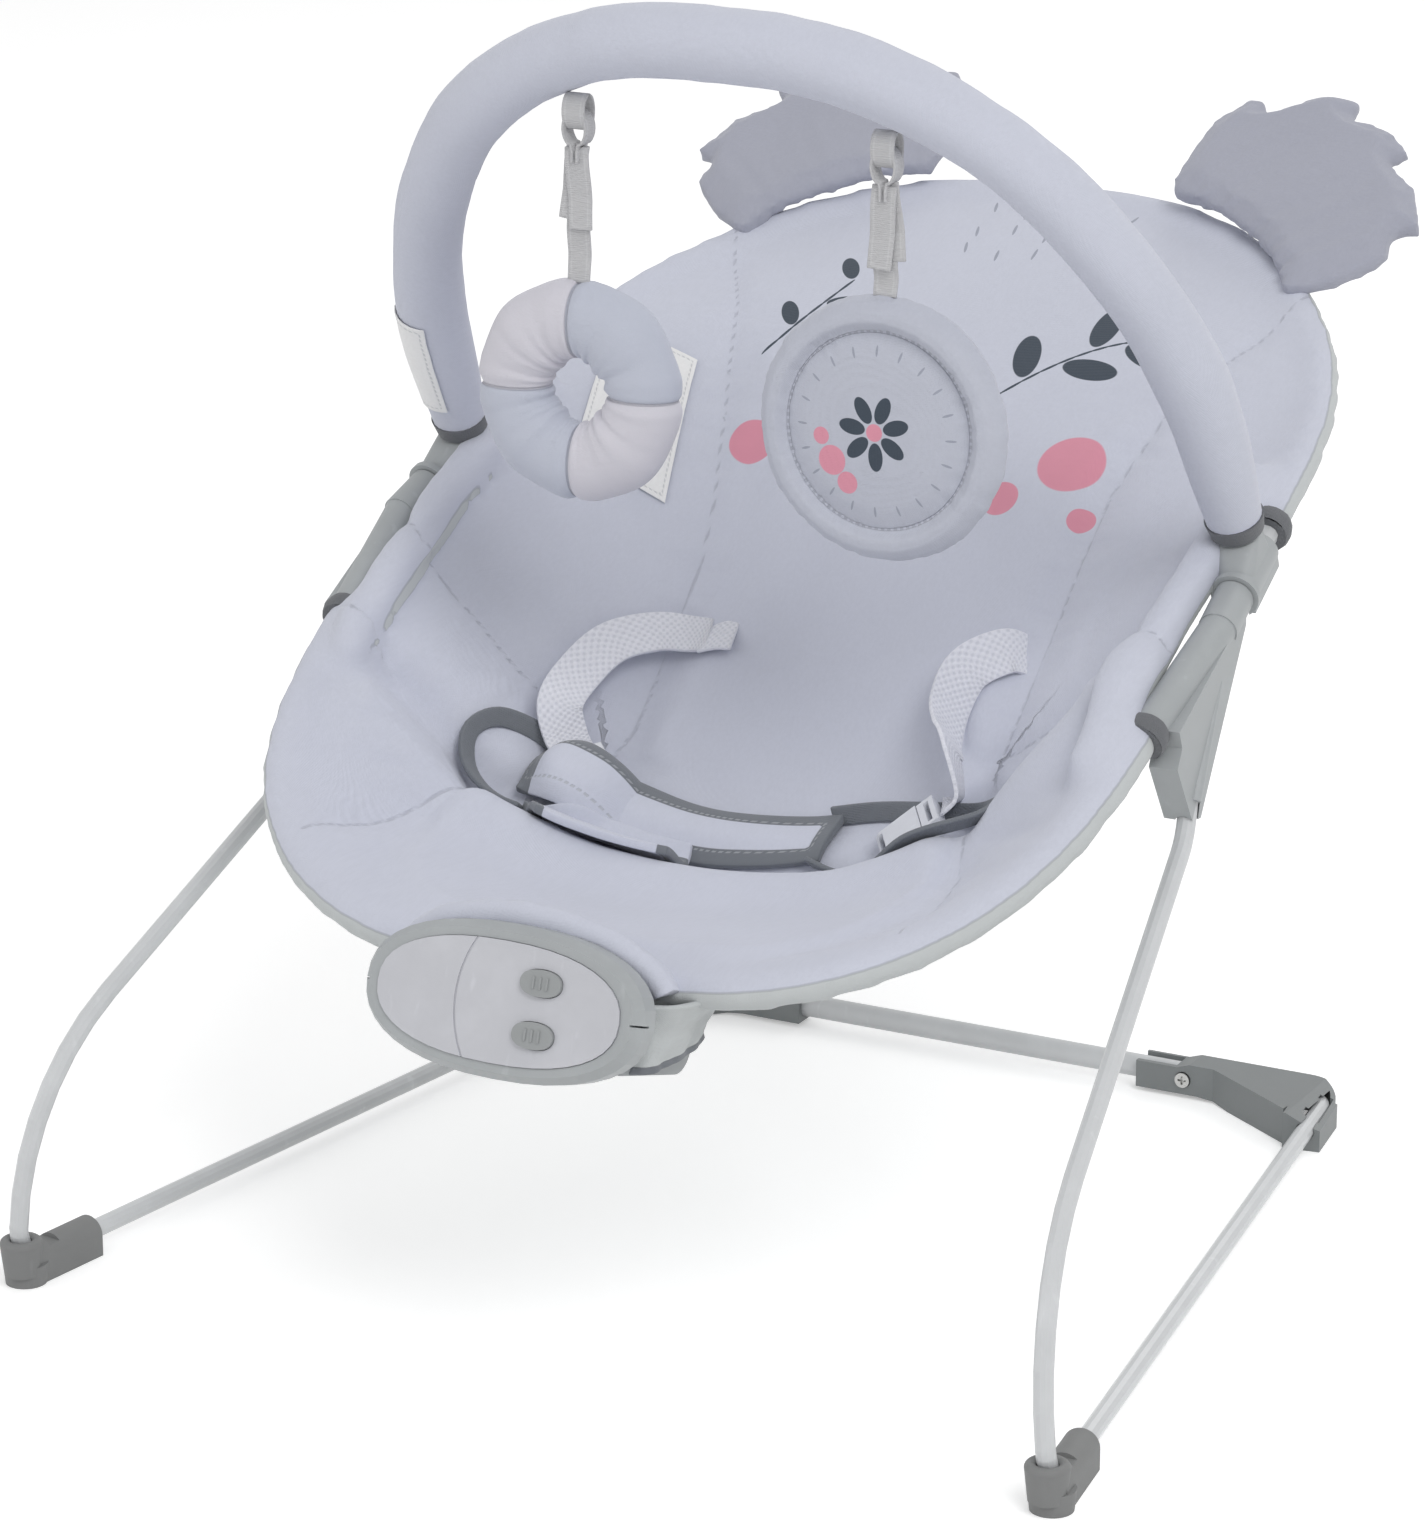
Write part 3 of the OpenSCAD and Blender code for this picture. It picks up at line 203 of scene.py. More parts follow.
# moulded plastic: fine spark texture, faint flow marks and rub marks
def buildPlasticGroup():
    group, given, result = newGroup("mouldedSurface",
        [("Vector", "Vector", None), ("Grain", "Float", 1400.0), ("Depth", "Float", 0.00003)],
        [("Height", "Float"), ("Marks", "Float")])
    place = given.outputs["Vector"]
    grain = noiseAt(group, place, given.outputs["Grain"], 1)
    group.links.new(times(group, grain, given.outputs["Depth"]), result.inputs["Height"])
    cloudy = noiseAt(group, place, 45, 3, 0.6)
    rubs = spread(group, noiseAt(group, place, 160, 2, 0.6, (1, 1, 0.2)), 0.62, 0.78)
    marks = plus(group, times(group, cloudy, 0.7), times(group, rubs, 0.3))
    group.links.new(marks, result.inputs["Marks"])
    return group


clothGroup = buildClothGroup()
plasticGroup = buildPlasticGroup()


def newMaterial(name):
    material = bpy.data.materials.new(name)
    material.use_nodes = True
    tree = material.node_tree
    return material, tree, tree.nodes["Principled BSDF"]


def objectPlace(tree):
    return addNode(tree, "TexCoord").outputs["Object"]


def attributeOf(tree, name, output="Fac"):
    return addNode(tree, "Attribute", attribute_name=name).outputs[output]


def stripOf(tree):
    # along a strip, across it, and the distance to its nearest edge
    return partsOf(tree, attributeOf(tree, "strip", "Vector"))


def bumpInto(tree, shader, height):
    bump = addNode(tree, "Bump")
    setInputs(bump, {"Strength": 1.0, "Distance": 1.0})
    feed(tree, bump.inputs["Height"], height)
    tree.links.new(bump.outputs[0], shader.inputs["Normal"])


def clothMaterial(name, colour, threads=1500.0, weave=0.00004, puckers=0.0006, roughness=0.82, sheen=0.25,
                  extra=None):
    material, tree, shader = newMaterial(name)
    surface = useGroup(tree, clothGroup, Vector=objectPlace(tree), Threads=threads, Weave=weave, Puckers=puckers)
    base = mixColour(tree, spread(tree, surface.outputs["Tint"], 0.25, 0.75), shadeOf(colour, 0.95), colour)
    height = surface.outputs["Height"]
    if extra:
        base, height = extra(tree, base, height)
    feed(tree, shader.inputs["Base Color"], base)
    setInputs(shader, {"Roughness": roughness, "Sheen Weight": sheen, "Sheen Roughness": 0.5,
                       "Specular IOR Level": 0.3})
    bumpInto(tree, shader, height)
    return material


def plasticMaterial(name, colour, roughness=0.42, grain=1400.0, depth=0.00003, coat=0.0, specular=0.5):
    material, tree, shader = newMaterial(name)
    surface = useGroup(tree, plasticGroup, Vector=objectPlace(tree), Grain=grain, Depth=depth)
    marks = surface.outputs["Marks"]
    mixed = mixColour(tree, spread(tree, marks, 0.2, 0.8), shadeOf(colour, 0.9), shadeOf(colour, 1.05))
    feed(tree, shader.inputs["Base Color"], mixed)
    feed(tree, shader.inputs["Roughness"], spread(tree, marks, 0.2, 0.8, roughness - 0.05, roughness + 0.09))
    setInputs(shader, {"Coat Weight": coat, "Specular IOR Level": specular})
    bumpInto(tree, shader, surface.outputs["Height"])
    return material


def metalMaterial(name, colour, roughness=0.3, streaks=(1, 1, 12)):
    material, tree, shader = newMaterial(name)
    brushed = noiseAt(tree, objectPlace(tree), 260, 3, 0.6, streaks)
    feed(tree, shader.inputs["Base Color"], mixColour(tree, brushed, shadeOf(colour, 0.8), colour))
    feed(tree, shader.inputs["Roughness"], spread(tree, brushed, 0.3, 0.7, roughness - 0.08, roughness + 0.12))
    setInputs(shader, {"Metallic": 1})
    bumpInto(tree, shader, times(tree, brushed, 0.00001))
    return material


# ---- finishes ----
colours = {
    "padTop": srgb(205, 208, 221), "padEdge": srgb(196, 200, 201), "ear": srgb(169, 171, 184),
    "bar": srgb(203, 206, 219), "binding": srgb(118, 122, 128), "hem": srgb(108, 110, 114),
    "webbing": srgb(232, 233, 241), "tape": srgb(196, 196, 198),
    "greyPlastic": srgb(172, 176, 178), "footRubber": srgb(134, 135, 135), "cornerPlastic": srgb(130, 134, 135),
    "facePlate": srgb(200, 201, 207), "button": srgb(160, 163, 164), "whitePaint": srgb(212, 214, 216),
    "whitePlastic": srgb(232, 234, 240), "panelPink": srgb(209, 207, 215), "panelBlue": srgb(190, 194, 207),
    "patch": srgb(240, 240, 240), "charcoal": srgb(62, 72, 84), "pink": srgb(220, 148, 166),
    "dash": srgb(150, 154, 168),
}
wirePaint = plasticMaterial("paintedWire", colours["whitePaint"], 0.34, 900, 0.00002, 0.15)
greyPlastic = plasticMaterial("greyPlastic", colours["greyPlastic"], 0.46)
cornerPlastic = plasticMaterial("cornerPlastic", colours["cornerPlastic"], 0.48)
footRubber = plasticMaterial("footRubber", colours["footRubber"], 0.62, 1800, 0.00004, 0, 0.35)
facePlastic = plasticMaterial("facePlastic", colours["facePlate"], 0.36, 1600, 0.00002)
buttonRubber = plasticMaterial("buttonRubber", colours["button"], 0.6, 1800, 0.00003, 0, 0.35)
whitePlastic = plasticMaterial("whitePlastic", colours["whitePlastic"], 0.35)
darkPlastic = plasticMaterial("switchPlastic", srgb(44, 46, 48), 0.5)
boardGreen = plasticMaterial("boardGreen", srgb(46, 104, 70), 0.35, 500, 0.00003)
cellWrap = plasticMaterial("cellWrap", srgb(70, 92, 124), 0.3, 400, 0.00001, 0.3)
screwSteel = metalMaterial("screwSteel", srgb(196, 196, 194), 0.3)
motorSteel = metalMaterial("motorSteel", srgb(184, 186, 190), 0.28, (12, 1, 1))
weightBrass = metalMaterial("weightBrass", srgb(190, 160, 96), 0.34)

rigidFinish = {
    wirePaint: ["leg_wire_left", "leg_wire_right", "rear_crossbar", "seat_tube_front", "seat_tube_back",
                "toy_bar_tube"],
    footRubber: ["front_foot_left", "front_foot_right"],
    cornerPlastic: ["rear_corner_left", "rear_corner_right"],
    greyPlastic: ["side_bracket_left", "side_bracket_right", "toy_bar_clip_left", "toy_bar_clip_right",
                  "unit_front_case", "unit_rear_case", "tube_clamp", "battery_door"],
    facePlastic: ["face_plate"],
    buttonRubber: ["button_upper", "button_lower"],
    whitePlastic: ["buckle_socket_left", "buckle_socket_right", "buckle_plug_left", "buckle_plug_right"],
    screwSteel: ["rear_screws", "bracket_screws", "door_screw", "case_screws", "battery_contacts"],
    darkPlastic: ["tact_switches"], boardGreen: ["circuit_board"], cellWrap: ["battery"],
    motorSteel: ["motor"], weightBrass: ["motor_weight"],
}


def finishNodes(names, finish):
    for name in names:
        mesh = nodes[name].data
        mesh.materials.clear()
        mesh.materials.append(finish)


for finish, names in rigidFinish.items():
    finishNodes(names, finish)
print("rigid parts finished")


# ---- shaping helpers ----
def bentPath(corners, radii, step=7):
    # straights joined by a round bend at each inner corner
    points = [corners[0]]
    for before, corner, after, radius in zip(corners, corners[1:], corners[2:], radii):
        back, on = (before - corner).normalized(), (after - corner).normalized()
        half = back.angle(on) / 2
        centre = corner + (back + on).normalized() * radius / math.sin(half)
        start = (corner + back * radius / math.tan(half) - centre) / radius
        end = (corner + on * radius / math.tan(half) - centre) / radius
        count = max(2, math.ceil((180 - 2 * math.degrees(half)) / step))
        points += [centre + start.slerp(end, k / count) * radius for k in range(count + 1)]
    return points + [corners[-1]]


def evenly(points, gap):
    # the same line with its points a fixed gap apart
    lengths = [0]
    for a, b in zip(points, points[1:]):
        lengths.append(lengths[-1] + (b - a).length)
    count = max(2, round(lengths[-1] / gap))
    wanted = np.linspace(0, lengths[-1], count + 1)
    axes = [np.interp(wanted, lengths, [p[k] for p in points]) for k in range(3)]
    return [Vector(p) for p in zip(*axes)]


def pieceFrom(name, mesh, *materials):
    piece = bpy.data.objects.new(name, mesh)
    scene.collection.objects.link(piece)
    for material in materials:
        mesh.materials.append(material)
    for face in mesh.polygons:
        face.use_smooth = True
    return piece


def meshOf(bm, name):
    mesh = bpy.data.meshes.new(name)
    bm.to_mesh(mesh)
    bm.free()
    return mesh


def applied(piece):
    # the piece's mesh with its modifiers applied
    depsgraph = bpy.context.evaluated_depsgraph_get()
    mesh = bpy.data.meshes.new_from_object(piece.evaluated_get(depsgraph))
    piece.modifiers.clear()
    piece.data = mesh
    return mesh


def tubeMesh(name, points, radius, radii=None, sides=6, closed=False):
    # a round bar along a line of points, with closed ends
    curve = bpy.data.curves.new(name, "CURVE")
    curve.dimensions, curve.bevel_depth, curve.bevel_resolution = "3D", radius, sides
    curve.use_fill_caps = not closed
    spline = curve.splines.new("POLY")
    spline.points.add(len(points) - 1)
    spline.use_cyclic_u = closed
    for k, point in enumerate(points):
        spline.points[k].co = (*point, 1)
        spline.points[k].radius = 1 if radii is None else radii[k]
    helper = bpy.data.objects.new(name, curve)
    scene.collection.objects.link(helper)
    bpy.context.view_layer.update()
    mesh = bpy.data.meshes.new_from_object(helper.evaluated_get(bpy.context.evaluated_depsgraph_get()))
    bpy.data.objects.remove(helper)
    return mesh


def coordsOf(mesh):
    flat = np.empty(len(mesh.vertices) * 3, np.float32)
    mesh.vertices.foreach_get("co", flat)
    return flat.reshape(-1, 3).astype(float)


def normalsOf(mesh):
    flat = np.empty(len(mesh.vertices) * 3, np.float32)
    mesh.vertex_normals.foreach_get("vector", flat)
    return flat.reshape(-1, 3).astype(float)


def setCoords(mesh, points):
    mesh.vertices.foreach_set("co", np.asarray(points, np.float32).ravel())
    mesh.update()


def noiseOver(points, scale):
    return np.array([noise.noise(Vector(p) * scale) for p in points])


def pushOut(mesh, amounts):
    setCoords(mesh, coordsOf(mesh) + normalsOf(mesh) * amounts[:, None])


def setAttribute(mesh, name, values):
    kind = "FLOAT_VECTOR" if np.ndim(values) == 2 else "FLOAT"
    attribute = mesh.attributes.new(name, kind, "POINT")
    field = "vector" if kind == "FLOAT_VECTOR" else "value"
    attribute.data.foreach_set(field, np.asarray(values, np.float32).ravel())


def remeshed(piece, voxel):
    modifier = piece.modifiers.new("voxels", "REMESH")
    modifier.mode, modifier.voxel_size, modifier.use_smooth_shade = "VOXEL", voxel, True
    applied(piece)


def subdivided(piece, levels=1):
    modifier = piece.modifiers.new("smooth", "SUBSURF")
    modifier.levels = modifier.render_levels = levels
    applied(piece)


def inflate(piece, pressure, cap, held=None, frames=20, stiffness=18):
    # cloth under pressure; held is a weight for each point, 1 where it stays
    before = coordsOf(piece.data)
    if held is not None:
        group = piece.vertex_groups.new(name="held")
        for index, weight in enumerate(held):
            if weight > 0.02:
                group.add([index], float(weight), "REPLACE")
    cloth = piece.modifiers.new("cloth", "CLOTH")
    settings = cloth.settings
    settings.quality = 5
    settings.use_pressure, settings.uniform_pressure_force = True, pressure
    settings.effector_weights.gravity = 0
    settings.tension_stiffness = settings.compression_stiffness = stiffness
    settings.mass = 0.3
    if held is not None:
        settings.vertex_group_mass = "held"
    cloth.point_cache.frame_start, cloth.point_cache.frame_end = 1, frames
    for number in range(1, frames + 1):
        scene.frame_set(number)
    swollen = piece.evaluated_get(bpy.context.evaluated_depsgraph_get()).data
    move = coordsOf(swollen) - before
    length = np.linalg.norm(move, axis=1, keepdims=True)
    move *= np.minimum(1, cap / np.maximum(length, 1e-9))
    piece.modifiers.clear()
    piece.vertex_groups.clear()
    setCoords(piece.data, before + move)
    scene.frame_set(1)


def nearestOnLines(points, lines):
    # for each point: distance to the nearest line, length along it, and which side
    best = np.full(len(points), 9.0)
    along, side = np.zeros(len(points)), np.zeros(len(points))
    run = 0.0
    for line in lines:
        for a, b in zip(line, line[1:]):
            a, b = np.array(a, float), np.array(b, float)
            d = b - a
            size = np.linalg.norm(d)
            t = np.clip(((points - a) @ d) / size ** 2, 0, 1)
            off = points - (a + t[:, None] * d)
            distance = np.linalg.norm(off, axis=1)
            closer = distance < best
            best = np.where(closer, distance, best)
            along = np.where(closer, run + t * size, along)
            if points.shape[1] == 2:
                side = np.where(closer, np.sign(off[:, 0] * d[1] - off[:, 1] * d[0]), side)
            run += size
    return best, along, side


def curved(points, t):
    # a smooth line through the points, t from 0 to 1
    last = len(points) - 1
    k = min(int(t * last), last - 1)
    f = t * last - k
    a, b, c, d = (points[max(0, min(last, k + j))] for j in (-1, 0, 1, 2))
    return b + 0.5 * f * (c - a + f * (2 * a - 5 * b + 4 * c - d + f * (3 * (b - c) + d - a)))


def sheetPiece(name, place, size, cells, thick, material, rim=0.0):
    # a strip or panel: place(u, w) gives its middle surface, size its length and width
    bm = bmesh.new()
    bmesh.ops.create_grid(bm, x_segments=cells[0], y_segments=cells[1], size=0.5)
    strip = bm.verts.layers.float_vector.new("strip")
    for vertex in bm.verts:
        u, w = vertex.co.x + 0.5, vertex.co.y + 0.5
        edge = min(u * size[0], (1 - u) * size[0], w * size[1], (1 - w) * size[1])
        vertex[strip] = (u * size[0], w * size[1], edge)
        vertex.co = place(u, w)
    bmesh.ops.recalc_face_normals(bm, faces=bm.faces)
    piece = pieceFrom(name, meshOf(bm, name), material)
    wall = piece.modifiers.new("wall", "SOLIDIFY")
    wall.thickness, wall.offset = thick, 0
    soft = piece.modifiers.new("soft", "BEVEL")
    soft.width, soft.segments, soft.limit_method = thick * 0.3, 2, "ANGLE"
    applied(piece)
    if rim:
        mesh = piece.data
        edge = np.empty(len(mesh.vertices) * 3, np.float32)
        mesh.attributes["strip"].data.foreach_get("vector", edge)
        raised = np.clip((rim - edge.reshape(-1, 3)[:, 2]) / 0.0008, 0, 1) * 0.0006
        pushOut(mesh, raised)
    return piece


def ribbonPiece(name, centres, widths, wide, thick, material, step=0.003, rim=0.0):
    # a flat strap along a line, its width turning from one direction to the next
    length = sum((b - a).length for a, b in zip(centres, centres[1:]))

    def place(u, w):
        ahead = curved(centres, min(1, u + 0.01)) - curved(centres, max(0, u - 0.01))
        across = curved(widths, u)
        across = (across - ahead * (across.dot(ahead) / ahead.length_squared)).normalized()
        return curved(centres, u) + across * (w - 0.5) * wide

    cells = (round(length / step), max(4, round(wide / step)))
    return sheetPiece(name, place, (length, wide), cells, thick, material, rim)


def surfaceTree(piece):
    bpy.context.view_layer.update()
    return BVHTree.FromObject(piece, bpy.context.evaluated_depsgraph_get())


# ---- spring wires: cut into many rings between the front foot and the seat ----
springLook = {"low": 0.035, "high": 0.205, "cuts": 28}


def makeSpringWire(side):
    node = nodes["leg_wire_" + side]
    shape = bmesh.new()
    shape.from_mesh(node.data)
    bmesh.ops.transform(shape, matrix=node.matrix_world, verts=shape.verts)
    for k in range(springLook["cuts"]):
        height = springLook["low"] + (springLook["high"] - springLook["low"]) * (k + 0.5) / springLook["cuts"]
        everything = shape.verts[:] + shape.edges[:] + shape.faces[:]
        bmesh.ops.bisect_plane(shape, geom=everything, plane_co=(0, 0, height), plane_no=(0, 0, 1))
    wire = pieceFrom("springWire." + side, meshOf(shape, "springWire." + side), node.data.materials[0])
    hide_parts("leg_wire_" + side)
    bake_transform(wire)


for side in ("left", "right"):
    makeSpringWire(side)
print("spring wires made")


# ---- seat: padded cover drawn over the frame ----
seatPlan = {
    "hinge": (-0.030, 0.279), "frontSlope": 27.5, "backSlope": 21.5,
    "frontHalf": [(0.192, 0), (0.180, -0.131), (0.134, -0.240)], "frontBends": (0.180, 0.134, 0.134, 0.180),
    "backHalf": [(0.192, 0), (0.178, 0.177), (0.090, 0.290)], "backBends": (0.196, 0.148, 0.148, 0.196),
    "tubeCover": 0.0085, "unitGap": 0.030, "coverStart": 0.0640,
}
meanSlope = math.radians((seatPlan["frontSlope"] + seatPlan["backSlope"]) / 2)
squareUp = Vector((0, -math.sin(meanSlope), math.cos(meanSlope)))
squareOut = np.array([0, -math.sin(meanSlope), math.cos(meanSlope)])
upSlope = Vector((0, math.cos(meanSlope), math.sin(meanSlope)))


def seatPoint(x, v, n=0.0, straight=False):
    # x across, v along the slope, n square to it
    slope = math.radians(seatPlan["frontSlope"] if v < 0 else seatPlan["backSlope"])
    lift = slope if straight else meanSlope
    y, z = seatPlan["hinge"]
    return Vector((x, y + v * math.cos(slope) - n * math.sin(lift), z + v * math.sin(slope) + n * math.cos(lift)))


def seatPlace(points):
    # back from space to x, v and n on the seat
    y, z = points[:, 1] - seatPlan["hinge"][0], points[:, 2] - seatPlan["hinge"][1]
    front = y * math.cos(meanSlope) + z * math.sin(meanSlope) < 0
    slope = np.where(front, math.radians(seatPlan["frontSlope"]), math.radians(seatPlan["backSlope"]))
    share = np.cos(slope - meanSlope)
    v = (y * math.cos(meanSlope) + z * math.sin(meanSlope)) / share
    n = (z * np.cos(slope) - y * np.sin(slope)) / share
    return np.stack([points[:, 0], v, n], 1)


def framePath(half, bends, start):
    (x0, v0), (x1, v1) = half[0], half[1]
    run = math.hypot(x1 - x0, v1 - v0)
    first = (x0 + (x1 - x0) * start / run, v0 + (v1 - v0) * start / run)
    side = [first, half[1], half[2]]
    corners = side + [(-x, v) for x, v in reversed(side)]
    return bentPath([seatPoint(x, v) for x, v in corners], bends)


padLook = {
    "voxel": 0.005, "pressure": 4.0, "swell": 0.0055, "seamDepth": 0.0032, "seamWidth": 0.008,
    "seams": [
        [(-0.148, 0.256), (-0.130, 0.209), (-0.1147, 0.180), (-0.0945, 0.121), (-0.0806, 0.073),
         (-0.0755, 0.045), (-0.074, 0.008), (-0.075, -0.036), (-0.080, -0.058)],
        [(0.150, 0.254), (0.135, 0.203), (0.121, 0.175), (0.109, 0.144), (0.100, 0.099), (0.0985, 0.049),
         (0.098, 0.010), (0.096, -0.032)],
        [(-0.182, -0.016), (-0.163, -0.024), (-0.145, -0.030), (-0.126, -0.038), (-0.114, -0.042),
         (-0.098, -0.050), (-0.080, -0.058)],
        [(0.182, -0.024), (0.168, -0.020), (0.138, -0.016), (0.110, -0.028), (0.096, -0.032)],
        [(-0.137, -0.195), (-0.125, -0.165), (-0.118, -0.134), (-0.112, -0.112)],
        [(0.135, -0.195), (0.129, -0.172), (0.118, -0.125), (0.112, -0.088)],
    ],
    "crease": [(-0.150, -0.085), (-0.112, -0.100), (-0.060, -0.104), (0, -0.100), (0.050, -0.092),
               (0.095, -0.072), (0.128, -0.042)],
    "creaseDepth": 0.009, "crest": 0.009, "crestAhead": 0.027,
    "sideRoll": [(0.1700, -0.096, 0.001), (0.1725, -0.075, 0.0045), (0.1735, -0.040, 0.006),
                 (0.1735, 0, 0.006), (0.1735, 0.040, 0.006), (0.1720, 0.078, 0.0045), (0.1690, 0.100, 0.001)],
}


def shellOf(name):
    # a part's own mesh, welded, to start a soft piece from
    shell = bmesh.new()
    shell.from_mesh(nodes[name].data)
    bmesh.ops.remove_doubles(shell, verts=shell.verts, dist=1e-5)
    return shell


def makeCover():
    shell = shellOf("seat_pad")
    frontLine = evenly(framePath(seatPlan["frontHalf"], seatPlan["frontBends"], seatPlan["coverStart"]), 0.006)
    backLine = evenly(framePath(seatPlan["backHalf"], seatPlan["backBends"], seatPlan["coverStart"] + 0.003), 0.006)
    gap = seatPlan["unitGap"]
    runs = [[p for p in frontLine if p.x > gap], [p for p in frontLine if p.x < -gap], backLine]
    for k, run in enumerate(runs):
        shell.from_mesh(tubeMesh(f"coverRun{k}", run, seatPlan["tubeCover"]))
    for sign in (-1, 1):
        # the side edge rolls out and up against the bracket
        shell.from_mesh(tubeMesh("sideRoll", [seatPoint(sign * x, v, n) for x, v, n in padLook["sideRoll"]], 0.0100))
    piece = pieceFrom("seatCover", meshOf(shell, "seatCover"))
    remeshed(piece, padLook["voxel"])
    soft = bmesh.new()
    soft.from_mesh(piece.data)
    for _ in range(3):
        bmesh.ops.smooth_vert(soft, verts=soft.verts, factor=0.5, use_axis_x=True, use_axis_y=True, use_axis_z=True)
    soft.to_mesh(piece.data)
    soft.free()
    seams, tubes = padLook["seams"], [[tuple(p) for p in run] for run in runs]
    points = coordsOf(piece.data)
    tubeDistance = nearestOnLines(points, tubes)[0]
    distance = nearestOnLines(seatPlace(points)[:, :2], seams)[0]
    facing = normalsOf(piece.data) @ squareOut
    held = np.clip(1.6 - distance / 0.006, 0, 1)
    held = np.maximum(held, np.clip(2.2 - tubeDistance / 0.008, 0, 1))
    held = np.maximum(held, facing < -0.3)
    inflate(piece, padLook["pressure"], padLook["swell"], held)
    subdivided(piece)
    mesh = piece.data
    points, normals = coordsOf(mesh), normalsOf(mesh)
    place = seatPlace(points)
    distance, along, side = nearestOnLines(place[:, :2], seams)
    tubeDistance = nearestOnLines(points, tubes)[0]
    facing = normals @ squareOut
    top = np.clip((facing + 0.1) / 0.4, 0, 1)
    # the seams pull in, short puckers run square to them, and the seat sinks along its crease
    clear = np.clip((tubeDistance - 0.011) / 0.014, 0, 1)
    groove = np.exp(-distance / padLook["seamWidth"])
    wobble = np.array([noise.noise(Vector((a * 120, d * 14, 3.1))) for a, d in zip(along, distance * side)])
    pucker = wobble * np.exp(-((distance - 0.008) / 0.009) ** 2)
    broad = noiseOver(points, 13)
    sink, _, ahead = nearestOnLines(place[:, :2], [padLook["crease"]])
    ahead = sink * ahead
    fall = np.exp(-(ahead / 0.011) ** 2)
    crest = np.exp(-((ahead - padLook["crestAhead"]) / 0.015) ** 2)
    push = -padLook["seamDepth"] * groove + 0.0007 * pucker + 0.0018 * broad
    push += padLook["crest"] * crest - padLook["creaseDepth"] * fall
    pushOut(mesh, top * clear * push)
    setAttribute(mesh, "seam", np.stack([distance, along, side], 1))
    setAttribute(mesh, "plan", place)
    return piece, runs


seatCover, coverRuns = makeCover()
print("seat cover made:", len(seatCover.data.polygons), "faces")


def motifDot(tree, x, v, centre, size, tilt=0.0):
    # 1 inside an oval of that half size, on the seat's own x and v
    c, s = math.cos(math.radians(tilt)), math.sin(math.radians(tilt))
    dx, dv = minus(tree, x, centre[0]), minus(tree, v, centre[1])
    across = plus(tree, times(tree, dx, c / size[0]), times(tree, dv, s / size[0]))
    up = plus(tree, times(tree, dx, -s / size[1]), times(tree, dv, c / size[1]))
    far = plus(tree, times(tree, across, across), times(tree, up, up))
    return spread(tree, far, 1.06, 0.94)


def stitchesIn(tree, strip, inset, length):
    # a sewn line that far inside the edge, and the stitches along it
    outer = spread(tree, strip[2], inset, inset + 0.0003)
    line = times(tree, outer, spread(tree, strip[2], inset + 0.001, inset + 0.0007))
    run = wave(tree, plus(tree, strip[0], strip[1]), length)
    return line, times(tree, line, spread(tree, run, -0.5, 0.0))


def oneOf(tree, masks):
    total = masks[0]
    for mask in masks[1:]:
        total = maths(tree, "MAXIMUM", total, mask)
    return total


padPrint = {
    "berries": [((0.078, 0.110), 0.0150), ((0.053, 0.088), 0.0080), ((-0.074, 0.104), 0.0110),
                ((0.092, 0.083), 0.0060)],
    "stem": [(0.012 + 0.0062 * k, 0.118 + 0.0105 * k - 0.0004 * k * k) for k in range(2, 12)],
    "sprig": [(-0.088 + 0.0035 * k, 0.150 + 0.0090 * k) for k in range(7)],
    "dashes": [((-0.026 + 0.017 * (k % 5), 0.272 - 0.017 * (k // 5) - 0.004 * (k % 2)), 15 - 7 * (k % 5))
               for k in range(13)],
    "dashHalf": (0.0007, 0.0042), "stemLeaf": 0.0135, "sprigLeaf": 0.0085,
}


def sprigOf(tree, x, v, stem, size):
    # a bent stalk with leaves set in pairs
    masks = []
    for k, (a, b) in enumerate(zip(stem, stem[1:])):
        lean = math.degrees(math.atan2(b[1] - a[1], b[0] - a[0]))
        middle = ((a[0] + b[0]) / 2, (a[1] + b[1]) / 2)
        masks.append(motifDot(tree, x, v, middle, (math.dist(a, b) * 0.62, 0.0007), lean))
        if k % 2:
            turn = math.radians(lean + (52 if k % 4 == 1 else -52))
            tip = (b[0] + size * 1.2 * math.cos(turn), b[1] + size * 1.2 * math.sin(turn))
            masks.append(motifDot(tree, x, v, tip, (size, size * 0.46), math.degrees(turn)))
    return oneOf(tree, masks)


